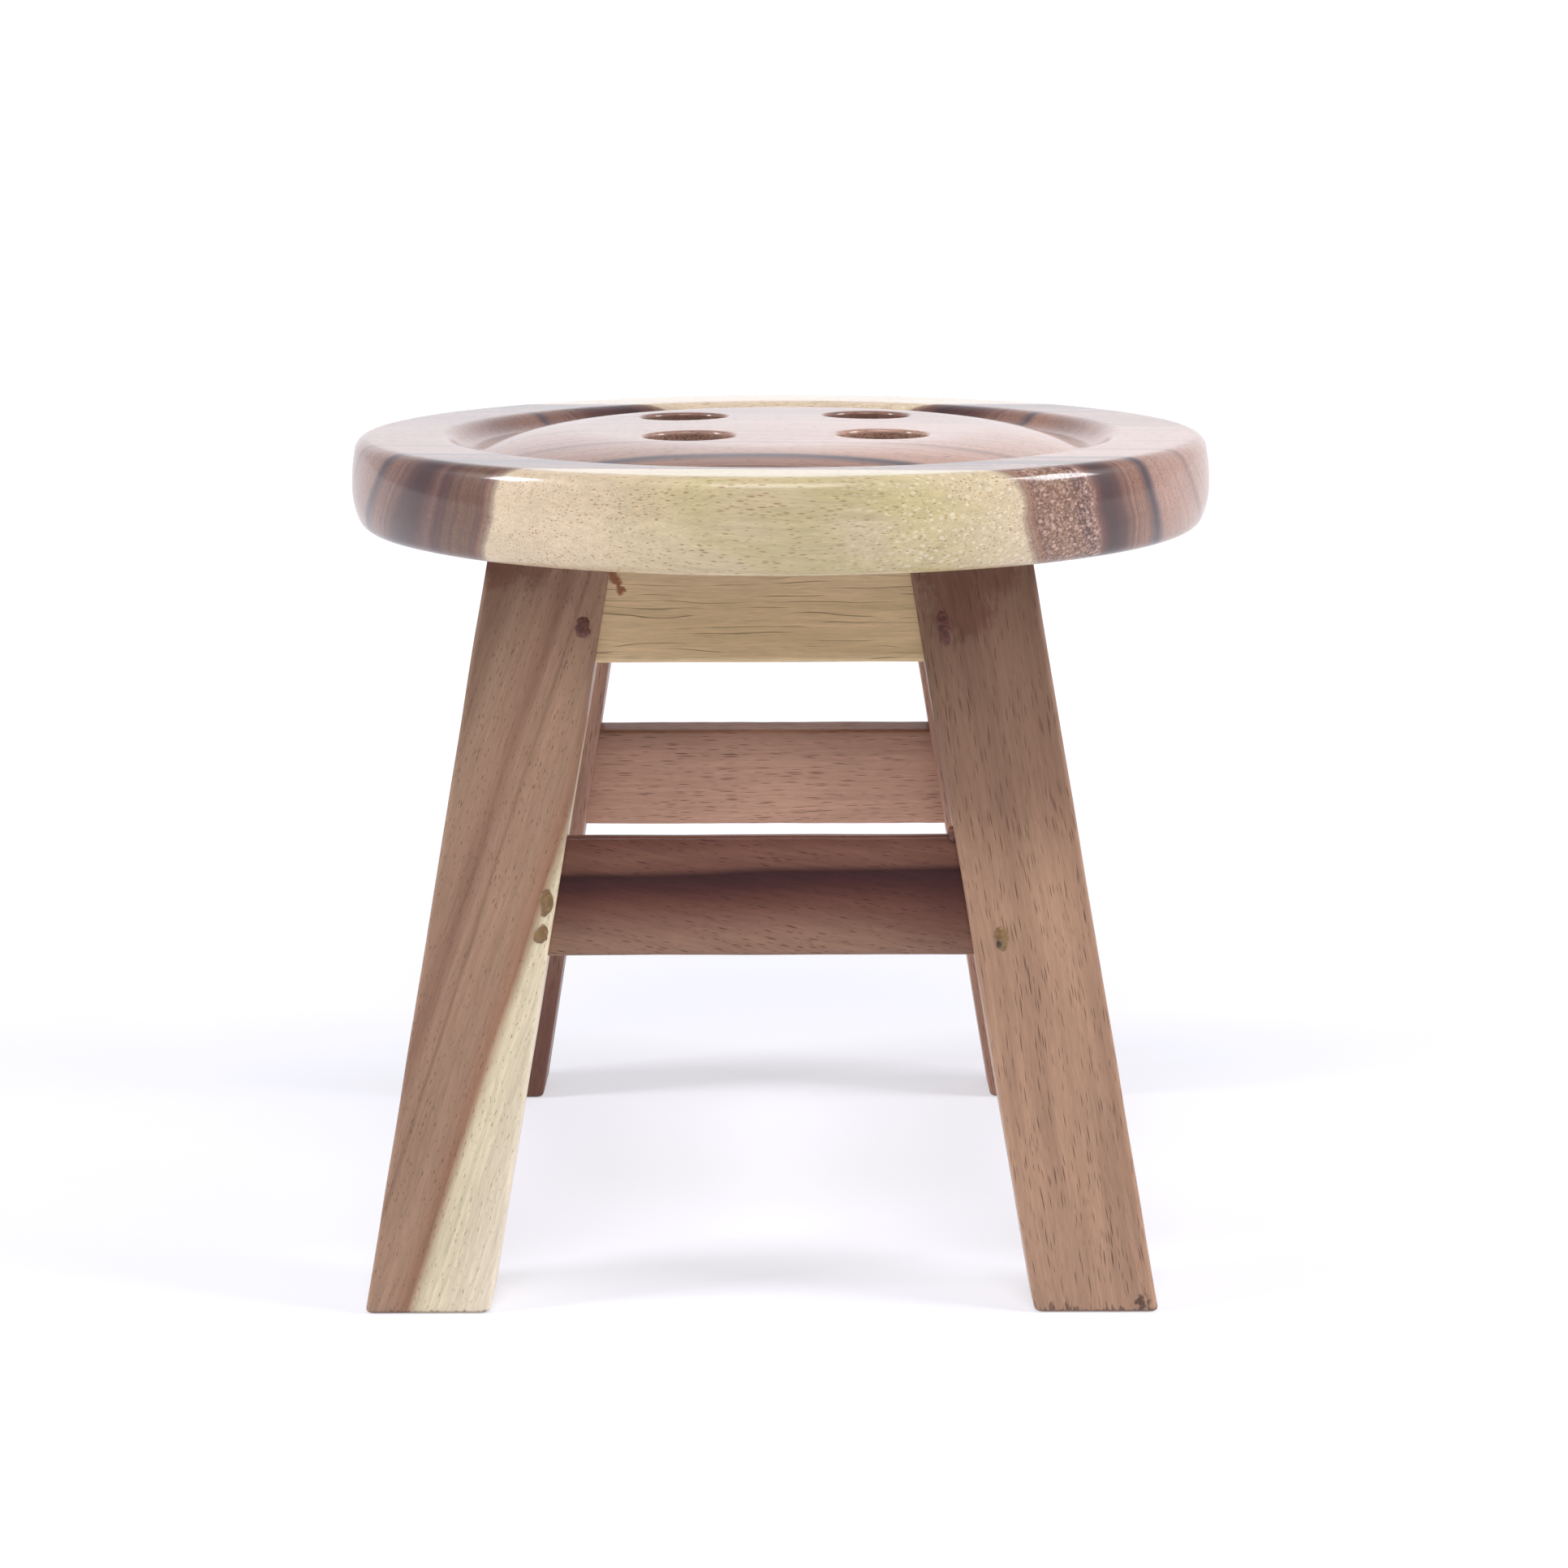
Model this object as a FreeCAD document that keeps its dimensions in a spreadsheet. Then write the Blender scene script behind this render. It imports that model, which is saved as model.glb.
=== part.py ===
"""Small round stool: a button-shaped seat on four splayed legs, tied by aprons and stretchers.

The origin is on the floor under the middle of the seat, with +Z up and the front towards -Y.
Every side of the base slopes inwards by the same amount. The rails are square boards that lie
in those slopes, with tenons in blind mortises, and wire staples under putty pin each tenon.
"""
import FreeCAD, Part

import math
import os

import Sketcher

Vector = FreeCAD.Vector
Rotation = FreeCAD.Rotation
Placement = FreeCAD.Placement

# Driving dimensions, in millimetres
DIMENSIONS = [
    # Whole stool
    ("rim_height", "250"),
    ("seat_overhang", "55"),
    ("leg_splay", "38"),
    ("base_shift", "6"),
    # Seat, seen as one turned section
    ("seat_diameter", "270"),
    ("seat_thickness", "28"),
    ("belly_level", "12.5"),
    ("upper_belly_radius", "58"),
    ("lower_belly_radius", "25"),
    ("top_edge_round", "4.5"),
    ("bottom_cut_width", "5.8"),
    ("bottom_cut_height", "2.4"),
    ("rim_width", "27.4"),
    ("lip_width", "11.6"),
    ("ring_depth", "5"),
    ("ring_round", "9.3"),
    ("face_rise", "2.2"),
    ("face_radius_share", "0.625"),
    # Button holes
    ("hole_diameter", "28"),
    ("hole_depth", "10"),
    ("hole_edge_cut", "1.2"),
    ("hole_margin", "1.6"),
    ("hole_place_x_share", "0.6875"),
    ("hole_place_y_share", "0.7263"),
    ("hole_turn_share", "0.0089"),
    # Legs
    ("leg_width", "37"),
    ("leg_depth", "25"),
    ("leg_edge_round", "1.6"),
    ("foot_edge_cut", "1.2"),
    # Aprons
    ("apron_drop", "32"),
    ("apron_thickness", "18"),
    ("apron_recess", "1.5"),
    ("apron_tenon_rise", "6"),
    ("apron_tenon_height", "20"),
    ("apron_tenon_setback", "5"),
    ("apron_tenon_thickness", "8"),
    # Stretchers
    ("stretcher_level", "104.2"),
    ("stretcher_height", "35.5"),
    ("stretcher_thickness", "10"),
    ("stretcher_recess", "3.4"),
    ("stretcher_tenon_rise", "5"),
    ("stretcher_tenon_height", "25.5"),
    ("stretcher_tenon_setback", "2"),
    ("stretcher_tenon_thickness", "6"),
    # Joints
    ("rail_edge_round", "1.3"),
    ("wide_tenon_length", "18"),
    ("narrow_tenon_length", "16"),
    ("tenon_fit", "0.15"),
    ("mortise_end_gap", "1"),
    # Staples and the putty over them
    ("staple_inset", "6"),
    ("staple_crown", "7"),
    ("staple_leg_length", "14"),
    ("staple_wire", "1.2"),
    ("staple_fit", "0.1"),
    ("putty_depth", "1.5"),
    ("putty_length", "11"),
    ("putty_width", "4.6"),
    ("putty_corner_cut", "1.3"),
    ("putty_fit", "0.05"),
    # Seat screws
    ("screw_grip", "18"),
    ("screw_bite", "14"),
    ("screw_shank_diameter", "4"),
    ("screw_head_diameter", "8"),
    ("screw_head_height", "2.6"),
    ("screw_slot_width", "1.2"),
    ("screw_slot_depth", "1.3"),
    ("screw_tip_length", "4"),
    ("screw_tip_diameter", "1"),
    ("screw_hole_fit", "0.1"),
    ("counterbore_fit", "0.5"),
    ("pilot_end_gap", "1"),
    # How far cuts run past the wood
    ("overrun", "5"),
]

FULL_TURN = 360
TOLERANCE_SHARE = 0.000001

doc = FreeCAD.newDocument("stool")


def make_sheet():
    sheet = doc.addObject("Spreadsheet::Sheet", "Sizes")
    for row, (name, value) in enumerate(DIMENSIONS, start=1):
        sheet.set(f"A{row}", name)
        sheet.set(f"B{row}", value)
        sheet.setAlias(f"B{row}", name)
    doc.recompute()
    return sheet


sheet = make_sheet()


def size(text):
    """The value of an expression on the sheet's cells."""
    return float(sheet.evalExpression(text.replace("Sizes.", "")))


# Shapes that several pieces share, as expressions on the sheet
LEG_TOP = "(Sizes.rim_height - Sizes.seat_thickness)"
FOOT_HALF_SPAN = "(Sizes.seat_diameter / 2 - Sizes.seat_overhang + Sizes.leg_splay)"
SLOPE = f"(Sizes.leg_splay / {LEG_TOP})"
COSINE = f"(1 / sqrt(1 + {SLOPE} ^ 2))"
SINE = f"({SLOPE} / sqrt(1 + {SLOPE} ^ 2))"
TILT = f"atan({SLOPE})"


def span_at(level):
    """Distance from the base's middle to the legs' outer faces at a level."""
    return f"({FOOT_HALF_SPAN} - {SLOPE} * {level})"


class Rail:
    """A kind of rail: a square board lying in the sloping side, and the tenons at its ends."""

    def __init__(self, kind, foot_level, reaches_seat):
        self.kind = kind
        self.foot_level = foot_level
        self.reaches_seat = reaches_seat
        self.thickness = f"Sizes.{kind}_thickness"
        self.recess = f"Sizes.{kind}_recess"
        self.tenon_rise = f"Sizes.{kind}_tenon_rise"
        self.tenon_height = f"Sizes.{kind}_tenon_height"
        self.tenon_setback = f"Sizes.{kind}_tenon_setback"
        self.tenon_thickness = f"Sizes.{kind}_tenon_thickness"

    def corner(self, up, inward):
        """A point of the section: how far out from the middle and how high it lies."""
        outward = f"{span_at(self.foot_level)} - {self.recess} - ({up}) * {SINE} - ({inward}) * {COSINE}"
        level = f"{self.foot_level} + ({up}) * {COSINE} - ({inward}) * {SINE}"
        return outward, level

    def corner_under_seat(self, inward):
        """Where the board's face meets the seat's underside."""
        return f"{span_at(LEG_TOP)} - {self.recess} - ({inward}) / {COSINE}", LEG_TOP

    def board(self):
        if self.reaches_seat:
            top = [self.corner_under_seat(self.thickness), self.corner_under_seat("0")]
        else:
            height = "Sizes.stretcher_height"
            top = [self.corner(height, self.thickness), self.corner(height, "0")]
        return [self.corner("0", "0"), self.corner("0", self.thickness)] + top

    def tenon(self, fit):
        low = f"{self.tenon_rise} - {fit}"
        high = f"{self.tenon_rise} + {self.tenon_height} + {fit}"
        near = f"{self.tenon_setback} - {fit}"
        far = f"{self.tenon_setback} + {self.tenon_thickness} + {fit}"
        places = [(low, near), (low, far), (high, far), (high, near)]
        return [self.corner(up, inward) for up, inward in places]

    def middle_level(self):
        return f"({self.foot_level} + ({self.tenon_rise} + {self.tenon_height} / 2) * {COSINE})"

    def tenon_reach(self, across, length):
        """How far from the middle the tenons end, in legs that are so wide along the rail."""
        return f"{span_at(self.middle_level())} - Sizes.{across} + Sizes.{length}"


APRON = Rail("apron", f"({LEG_TOP} - Sizes.apron_drop)", True)
STRETCHER = Rail("stretcher", "Sizes.stretcher_level", False)
RAIL_KINDS = [APRON, STRETCHER]

# The button's turned top, measured from the slab's underside, and the circle that its holes lie on
RIM_INNER_RADIUS = "(Sizes.seat_diameter / 2 - Sizes.rim_width)"
RING_RADIUS = f"({RIM_INNER_RADIUS} - Sizes.lip_width)"
FACE_RADIUS = f"({RING_RADIUS} * Sizes.face_radius_share)"
RING_LEVEL = "(Sizes.seat_thickness - Sizes.ring_depth)"
FACE_LEVEL = "(Sizes.seat_thickness + Sizes.face_rise)"
HOLE_MOUTH_RADIUS = "(Sizes.hole_diameter / 2 + Sizes.hole_edge_cut)"
HOLE_LINE = f"({FACE_RADIUS} - Sizes.hole_margin - {HOLE_MOUTH_RADIUS})"
HOLE_TURN = f"(Sizes.hole_turn_share * {FULL_TURN})"

# Each side of the base: its turn about +Z, and the legs' size and the tenons' length along its rails
SIDES = {
    "front": (0, "leg_width", "wide_tenon_length"),
    "right": (90, "leg_depth", "narrow_tenon_length"),
    "back": (180, "leg_width", "wide_tenon_length"),
    "left": (270, "leg_depth", "narrow_tenon_length"),
}
SCREW_SEAT_LEVEL = f"({LEG_TOP} - Sizes.screw_grip)"
SCREW_LINE = f"({span_at(SCREW_SEAT_LEVEL)} - Sizes.apron_recess - Sizes.apron_thickness / 2 / {COSINE})"


def new_body(name):
    return doc.addObject("PartDesign::Body", name)


def new_sketch(body, plane, name):
    """A sketch on one of the body's own origin planes."""
    sketch = body.newObject("Sketcher::SketchObject", name)
    support = [feature for feature in body.Origin.OriginFeatures if feature.Role == plane][0]
    sketch.AttachmentSupport = (support, "")
    sketch.MapMode = "FlatFace"
    return sketch


# The points of a sketched edge, in the sketcher's order
EDGE_POINTS = ("none", "start", "end", "centre")


def point(name):
    return EDGE_POINTS.index(name)


def join(sketch, kind, first, first_point, second, second_point):
    """Ties two edges at their named points: Coincident, or Tangent for a join with no corner."""
    sketch.addConstraint(Sketcher.Constraint(kind, first, point(first_point), second, point(second_point)))


def place_point(sketch, kind, edge, name, text):
    """Fixes one coordinate of a named point of an edge, measured from the sketch's origin."""
    origin = Sketcher.Constraint(kind, -1, point("start"), edge, point(name), size(text))
    bind(sketch, origin, text)


def bind(sketch, constraint, text):
    index = sketch.addConstraint(constraint)
    sketch.setExpression(f"Constraints[{index}]", text)


def fix_point(sketch, edge, name, place):
    for kind, text in zip(("DistanceX", "DistanceY"), place):
        place_point(sketch, kind, edge, name, text)


def draw_polygon(sketch, corners):
    """A closed outline through corners given as pairs of expressions."""
    points = [Vector(size(x), size(y), 0) for x, y in corners]
    first = sketch.GeometryCount
    count = len(points)
    for number in range(count):
        sketch.addGeometry(Part.LineSegment(points[number], points[(number + 1) % count]), False)
    for number in range(count):
        join(sketch, "Coincident", first + number, "end", first + (number + 1) % count, "start")
    for number, corner in enumerate(corners):
        fix_point(sketch, first + number, "start", corner)


def draw_circle(sketch, centre, diameter):
    circle = Part.Circle(Vector(size(centre[0]), size(centre[1]), 0), Vector(0, 0, 1), size(diameter) / 2)
    edge = sketch.addGeometry(circle, False)
    fix_point(sketch, edge, "centre", centre)
    bind(sketch, Sketcher.Constraint("Diameter", edge, size(diameter)), diameter)


def sweep_sketch(body, kind, name, sketch, length=None, both_ways=False, reverse=False):
    """A pad or pocket of a sketch; with no length it cuts through everything."""
    feature = body.newObject(f"PartDesign::{kind}", name)
    feature.Profile = sketch
    feature.SideType = "Symmetric" if both_ways else "One side"
    feature.Reversed = reverse
    if length is None:
        feature.Type = "ThroughAll"
    else:
        feature.Type = "Length"
        feature.setExpression("Length", length)
    doc.recompute()
    return feature


def cut_pocket(body, name, sketch, length=None, both_ways=False, reverse=False):
    """A pocket that must take wood away."""
    before = body.Shape.Volume
    feature = sweep_sketch(body, "Pocket", name, sketch, length, both_ways, reverse)
    if not body.Shape.Volume < before:
        raise RuntimeError(f"{body.Name}: {name} cuts nothing")
    return feature


def soften_edges(body, kind, name, amount, wanted):
    """Rounds or chamfers the edges of the body's last feature that the test picks."""
    base = body.Tip
    picked = [f"Edge{number}" for number, edge in enumerate(base.Shape.Edges, start=1) if wanted(edge)]
    feature = body.newObject(f"PartDesign::{kind}", name)
    feature.Base = (base, picked)
    feature.setExpression("Radius" if kind == "Fillet" else "Size", amount)
    doc.recompute()
    return feature


def is_same(one, other):
    """Whether two lengths differ by no more than the rounding of numbers."""
    return abs(one - other) < TOLERANCE_SHARE * size("Sizes.rim_height")


def is_level(edge):
    return is_same(edge.BoundBox.ZMin, edge.BoundBox.ZMax)


def lies_at(edge, level):
    return is_level(edge) and is_same(edge.BoundBox.ZMin, level)


def is_circle_of(edge, radius):
    return hasattr(edge.Curve, "Radius") and is_same(edge.Curve.Radius, radius)


def point_between(start, end, distance):
    """The point at a distance from start towards end, and past it if need be."""
    direction = Vector(end - start)
    direction.normalize()
    return start + direction * distance


def draw_arc(sketch, centre, start, end):
    """The arc from start to end that runs anticlockwise about the centre."""
    begin = math.atan2(start.y - centre.y, start.x - centre.x)
    finish = math.atan2(end.y - centre.y, end.x - centre.x)
    circle = Part.Circle(centre, Vector(0, 0, 1), (start - centre).Length)
    return sketch.addGeometry(Part.ArcOfCircle(circle, begin, finish), False)


def seat_section():
    """Points of the seat's half section, with arcs that run into each other without a corner."""
    radius = size("Sizes.seat_diameter") / 2
    top = size("Sizes.seat_thickness")
    belly = size("Sizes.belly_level")
    points = {"axis_bottom": Vector(0, 0, 0), "belly": Vector(radius, belly, 0)}

    lower = size("Sizes.lower_belly_radius")
    cut = size("Sizes.bottom_cut_height")
    points["cut_start"] = Vector(radius - size("Sizes.bottom_cut_width"), 0, 0)
    points["lower_centre"] = Vector(radius - lower, belly, 0)
    points["cut_end"] = Vector(radius - lower + math.sqrt(lower ** 2 - (belly - cut) ** 2), cut, 0)

    upper = size("Sizes.upper_belly_radius")
    edge = size("Sizes.top_edge_round")
    points["upper_centre"] = Vector(radius - upper, belly, 0)
    across = math.sqrt((upper - edge) ** 2 - (top - edge - belly) ** 2)
    points["edge_centre"] = Vector(radius - upper + across, top - edge, 0)
    points["edge_start"] = point_between(points["upper_centre"], points["edge_centre"], upper)
    points["edge_end"] = Vector(points["edge_centre"].x, top, 0)

    ring_round = size("Sizes.ring_round")
    depth = size("Sizes.ring_depth")
    ring = size(RING_RADIUS)
    lip = size(RIM_INNER_RADIUS)
    points["ring_centre"] = Vector(ring, top - depth + ring_round, 0)
    lip_round = ((lip - ring) ** 2 + depth ** 2) / (2 * depth) - ring_round
    points["lip_start"] = Vector(lip, top, 0)
    points["lip_centre"] = Vector(lip, top - lip_round, 0)
    points["lip_end"] = point_between(points["lip_centre"], points["ring_centre"], lip_round)

    face = size(FACE_RADIUS)
    level = size(FACE_LEVEL)
    climb = level - top + depth
    shoulder = ((ring - face) ** 2 + climb ** 2) / (2 * climb) - ring_round
    points["face_end"] = Vector(face, level, 0)
    points["shoulder_centre"] = Vector(face, level - shoulder, 0)
    points["shoulder_end"] = point_between(points["shoulder_centre"], points["ring_centre"], shoulder)
    points["axis_top"] = Vector(0, level, 0)
    return points


def make_seat():
    """The seat: turned slab, button holes and the pilot holes of the screws."""
    body = new_body("seat")
    body.setExpression("Placement.Base.z", LEG_TOP)
    points = seat_section()
    sketch = new_sketch(body, "XZ_Plane", "seat_section")

    underside = sketch.addGeometry(Part.LineSegment(points["axis_bottom"], points["cut_start"]), False)
    edge_cut = sketch.addGeometry(Part.LineSegment(points["cut_start"], points["cut_end"]), False)
    lower = draw_arc(sketch, points["lower_centre"], points["cut_end"], points["belly"])
    upper = draw_arc(sketch, points["upper_centre"], points["belly"], points["edge_start"])
    edge = draw_arc(sketch, points["edge_centre"], points["edge_start"], points["edge_end"])
    rim = sketch.addGeometry(Part.LineSegment(points["edge_end"], points["lip_start"]), False)
    lip = draw_arc(sketch, points["lip_centre"], points["lip_start"], points["lip_end"])
    ring = draw_arc(sketch, points["ring_centre"], points["shoulder_end"], points["lip_end"])
    shoulder = draw_arc(sketch, points["shoulder_centre"], points["shoulder_end"], points["face_end"])
    face = sketch.addGeometry(Part.LineSegment(points["face_end"], points["axis_top"]), False)
    axis = sketch.addGeometry(Part.LineSegment(points["axis_top"], points["axis_bottom"]), False)

    # The ring is the one hollow arc, so it runs the other way
    join(sketch, "Coincident", underside, "end", edge_cut, "start")
    join(sketch, "Coincident", edge_cut, "end", lower, "start")
    smooth_run = [lower, upper, edge, rim, lip]
    for first, second in zip(smooth_run, smooth_run[1:]):
        join(sketch, "Tangent", first, "end", second, "start")
    join(sketch, "Tangent", lip, "end", ring, "end")
    join(sketch, "Tangent", ring, "start", shoulder, "start")
    join(sketch, "Tangent", shoulder, "end", face, "start")
    join(sketch, "Coincident", face, "end", axis, "start")
    join(sketch, "Coincident", axis, "end", underside, "start")
    fix_point(sketch, underside, "start", ("0", "0"))
    for level_line in (underside, rim, face):
        sketch.addConstraint(Sketcher.Constraint("Horizontal", level_line))
    sketch.addConstraint(Sketcher.Constraint("Vertical", axis))

    rounds = [
        (lower, "Sizes.lower_belly_radius"), (upper, "Sizes.upper_belly_radius"),
        (edge, "Sizes.top_edge_round"), (ring, "Sizes.ring_round"),
    ]
    for arc, text in rounds:
        bind(sketch, Sketcher.Constraint("Radius", arc, size(text)), text)
    place_point(sketch, "DistanceX", edge_cut, "start", "Sizes.seat_diameter / 2 - Sizes.bottom_cut_width")
    place_point(sketch, "DistanceY", edge_cut, "end", "Sizes.bottom_cut_height")
    place_point(sketch, "DistanceX", lower, "end", "Sizes.seat_diameter / 2")
    place_point(sketch, "DistanceY", lower, "end", "Sizes.belly_level")
    place_point(sketch, "DistanceY", lower, "centre", "Sizes.belly_level")
    place_point(sketch, "DistanceY", rim, "start", "Sizes.seat_thickness")
    place_point(sketch, "DistanceX", rim, "end", RIM_INNER_RADIUS)
    fix_point(sketch, ring, "centre", (RING_RADIUS, f"{RING_LEVEL} + Sizes.ring_round"))
    fix_point(sketch, face, "start", (FACE_RADIUS, FACE_LEVEL))

    turned = body.newObject("PartDesign::Revolution", "seat_turning")
    turned.Profile = sketch
    turned.ReferenceAxis = (sketch, ["V_Axis"])
    turned.Angle = FULL_TURN
    doc.recompute()

    holes = new_sketch(body, "XY_Plane", "button_hole_circles")
    holes.AttachmentOffset = Placement(Vector(), Rotation(Vector(0, 0, 1), size(HOLE_TURN)))
    holes.setExpression("AttachmentOffset.Rotation.Angle", HOLE_TURN)
    holes.setExpression("AttachmentOffset.Base.z", f"{FACE_LEVEL} - Sizes.hole_depth")
    for side in ("-", ""):
        for row in ("-", ""):
            across = f"{side}Sizes.hole_place_x_share * {HOLE_LINE}"
            centre = (across, f"{row}Sizes.hole_place_y_share * {HOLE_LINE}")
            draw_circle(holes, centre, "Sizes.hole_diameter")
    cut_pocket(body, "button_holes", holes, "Sizes.hole_depth + Sizes.overrun", reverse=True)
    level = size(FACE_LEVEL)
    hole_radius = size("Sizes.hole_diameter / 2")
    soften_edges(body, "Chamfer", "button_hole_mouths", "Sizes.hole_edge_cut",
                 lambda edge: lies_at(edge, level) and is_circle_of(edge, hole_radius))

    pilots = new_sketch(body, "XY_Plane", "pilot_circles")
    for outward in ((SCREW_LINE, "0"), (f"-{SCREW_LINE}", "0"), ("0", SCREW_LINE), ("0", f"-{SCREW_LINE}")):
        centre = (f"{outward[0]} - Sizes.base_shift", outward[1])
        draw_circle(pilots, centre, "Sizes.screw_shank_diameter + 2 * Sizes.screw_hole_fit")
    cut_pocket(body, "pilot_holes", pilots, "Sizes.screw_bite + Sizes.pilot_end_gap", reverse=True)
    return body


def make_leg(name, right, back):
    """A leg: a stick sheared both ways, with a mortise for each of its four rails."""
    body = new_body(f"{name}_stick")
    body.setExpression("Placement.Base.x", "-Sizes.base_shift")
    side = "" if right else "-"
    row = "" if back else "-"
    outer = (f"{side}{FOOT_HALF_SPAN}", f"{row}{FOOT_HALF_SPAN}")
    inner = (f"{side}({FOOT_HALF_SPAN} - Sizes.leg_width)", f"{row}({FOOT_HALF_SPAN} - Sizes.leg_depth)")
    foot = new_sketch(body, "XY_Plane", f"{name}_foot")
    draw_polygon(foot, [outer, (inner[0], outer[1]), inner, (outer[0], inner[1])])
    stick = body.newObject("PartDesign::Pad", f"{name}_shear")
    stick.Profile = foot
    stick.UseCustomVector = True
    stick.AlongSketchNormal = True
    stick.setExpression("Direction.x", f"-1 * {side}{SLOPE}")
    stick.setExpression("Direction.y", f"-1 * {row}{SLOPE}")
    stick.setExpression("Direction.z", "1")
    stick.setExpression("Length", LEG_TOP)
    doc.recompute()
    soften_edges(body, "Chamfer", f"{name}_foot_edges", "Sizes.foot_edge_cut", lambda edge: lies_at(edge, 0))
    width = size("Sizes.leg_width")
    soften_edges(body, "Fillet", f"{name}_long_edges", "Sizes.leg_edge_round",
                 lambda edge: not is_level(edge) and edge.Length > width)

    # Mortises run from the middle of the base outwards, so that they share the tenons' reach
    across_leg = {"x": ("YZ_Plane", row, "leg_width", "wide_tenon_length", right),
                  "y": ("XZ_Plane", side, "leg_depth", "narrow_tenon_length", not back)}
    for direction, (plane, mirrored, across, length, reverse) in across_leg.items():
        for rail in RAIL_KINDS:
            sketch = new_sketch(body, plane, f"{name}_{rail.kind}_mortise_{direction}_section")
            corners = rail.tenon("Sizes.tenon_fit")
            draw_polygon(sketch, [(f"{mirrored}({out})", level) for out, level in corners])
            reach = f"{rail.tenon_reach(across, length)} + Sizes.mortise_end_gap"
            cut_pocket(body, f"{name}_{rail.kind}_mortise_{direction}", sketch, reach, reverse=reverse)
    return body


def make_rail(name, rail, side):
    """A rail as it lies in the front of the base, turned to its own side."""
    turn, across, length = SIDES[side]
    body = new_body(f"{name}_board")
    body.setExpression("Placement.Base.x", "-Sizes.base_shift")
    body.Placement.Rotation = Rotation(Vector(0, 0, 1), turn)

    section = new_sketch(body, "YZ_Plane", f"{name}_section")
    draw_polygon(section, [(f"-({out})", level) for out, level in rail.board()])
    sweep_sketch(body, "Pad", f"{name}_length", section, f"2 * {FOOT_HALF_SPAN}", both_ways=True)
    level_of_top = size(rail.board()[2][1])
    soften_edges(body, "Fillet", f"{name}_edges", "Sizes.rail_edge_round",
                 lambda edge: is_along_rail(edge) and not (rail.reaches_seat and lies_at(edge, level_of_top)))

    ends = new_sketch(body, "XZ_Plane", f"{name}_shoulders")
    beyond = f"({FOOT_HALF_SPAN} + Sizes.overrun)"
    for mirrored in ("", "-"):
        shoulder = [(f"{mirrored}({span_at(level)} - Sizes.{across})", level) for level in ("0", LEG_TOP)]
        tail = [(f"{mirrored}{beyond}", LEG_TOP), (f"{mirrored}{beyond}", "0")]
        draw_polygon(ends, shoulder + tail)
    cut_pocket(body, f"{name}_end_cuts", ends, both_ways=True)

    tenons = new_sketch(body, "YZ_Plane", f"{name}_tenon_section")
    draw_polygon(tenons, [(f"-({out})", level) for out, level in rail.tenon("0")])
    reach = rail.tenon_reach(across, length)
    sweep_sketch(body, "Pad", f"{name}_tenons", tenons, f"2 * ({reach})", both_ways=True)

    if rail.reaches_seat:
        middle = ("0", f"-{SCREW_LINE}")
        shank = new_sketch(body, "XY_Plane", f"{name}_shank_circle")
        draw_circle(shank, middle, "Sizes.screw_shank_diameter + 2 * Sizes.screw_hole_fit")
        cut_pocket(body, f"{name}_shank_hole", shank, f"{LEG_TOP} + Sizes.overrun", reverse=True)
        head = new_sketch(body, "XY_Plane", f"{name}_head_circle")
        draw_circle(head, middle, "Sizes.screw_head_diameter + 2 * Sizes.counterbore_fit")
        cut_pocket(body, f"{name}_counterbore", head, SCREW_SEAT_LEVEL, reverse=True)
    return body


def is_along_rail(edge):
    direction = edge.tangentAt(edge.FirstParameter)
    return abs(direction.x) > 1 - TOLERANCE_SHARE and is_level(edge)


def staple_outline(fit):
    """A staple seen from its side, as depth below the leg's face and height along it."""
    depth = "Sizes.putty_depth"
    outside = f"(Sizes.staple_crown / 2 + {fit})"
    inside = f"(Sizes.staple_crown / 2 - Sizes.staple_wire - {fit})"
    tip = f"({depth} + Sizes.staple_leg_length + {fit})"
    crown = f"({depth} + Sizes.staple_wire + {fit})"
    return [
        (depth, f"-{outside}"), (tip, f"-{outside}"), (tip, f"-{inside}"), (crown, f"-{inside}"),
        (crown, inside), (tip, inside), (tip, outside), (depth, outside),
    ]


def make_staple(name, fit):
    body = new_body(name)
    sketch = new_sketch(body, "YZ_Plane", f"{name}_outline")
    draw_polygon(sketch, staple_outline(fit))
    sweep_sketch(body, "Pad", f"{name}_wire", sketch, f"Sizes.staple_wire + 2 * {fit}", both_ways=True)
    return body


def make_putty(name, fit, proud):
    """A putty patch sunk in the leg's face, with its corners cut off, or the recess that it fills."""
    body = new_body(name)
    sketch = new_sketch(body, "XZ_Plane", f"{name}_outline")
    across = f"(Sizes.putty_width / 2 + {fit})"
    along = f"(Sizes.putty_length / 2 + {fit})"
    narrow = f"({across} - Sizes.putty_corner_cut)"
    short = f"({along} - Sizes.putty_corner_cut)"
    draw_polygon(sketch, [
        (across, f"-{short}"), (across, short), (narrow, along), (f"-{narrow}", along),
        (f"-{across}", short), (f"-{across}", f"-{short}"),
        (f"-{narrow}", f"-{along}"), (narrow, f"-{along}"),
    ])
    pad = body.newObject("PartDesign::Pad", f"{name}_depth")
    pad.Profile = sketch
    pad.SideType = "Two sides"
    pad.Reversed = True
    pad.setExpression("Length", "Sizes.putty_depth")
    pad.setExpression("Length2", proud)
    doc.recompute()
    return body


def side_placement(turn):
    """Takes what lies in the front of the base to the side at that turn."""
    return Placement(Vector(-size("Sizes.base_shift"), 0, 0), Rotation(Vector(0, 0, 1), turn))


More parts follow.
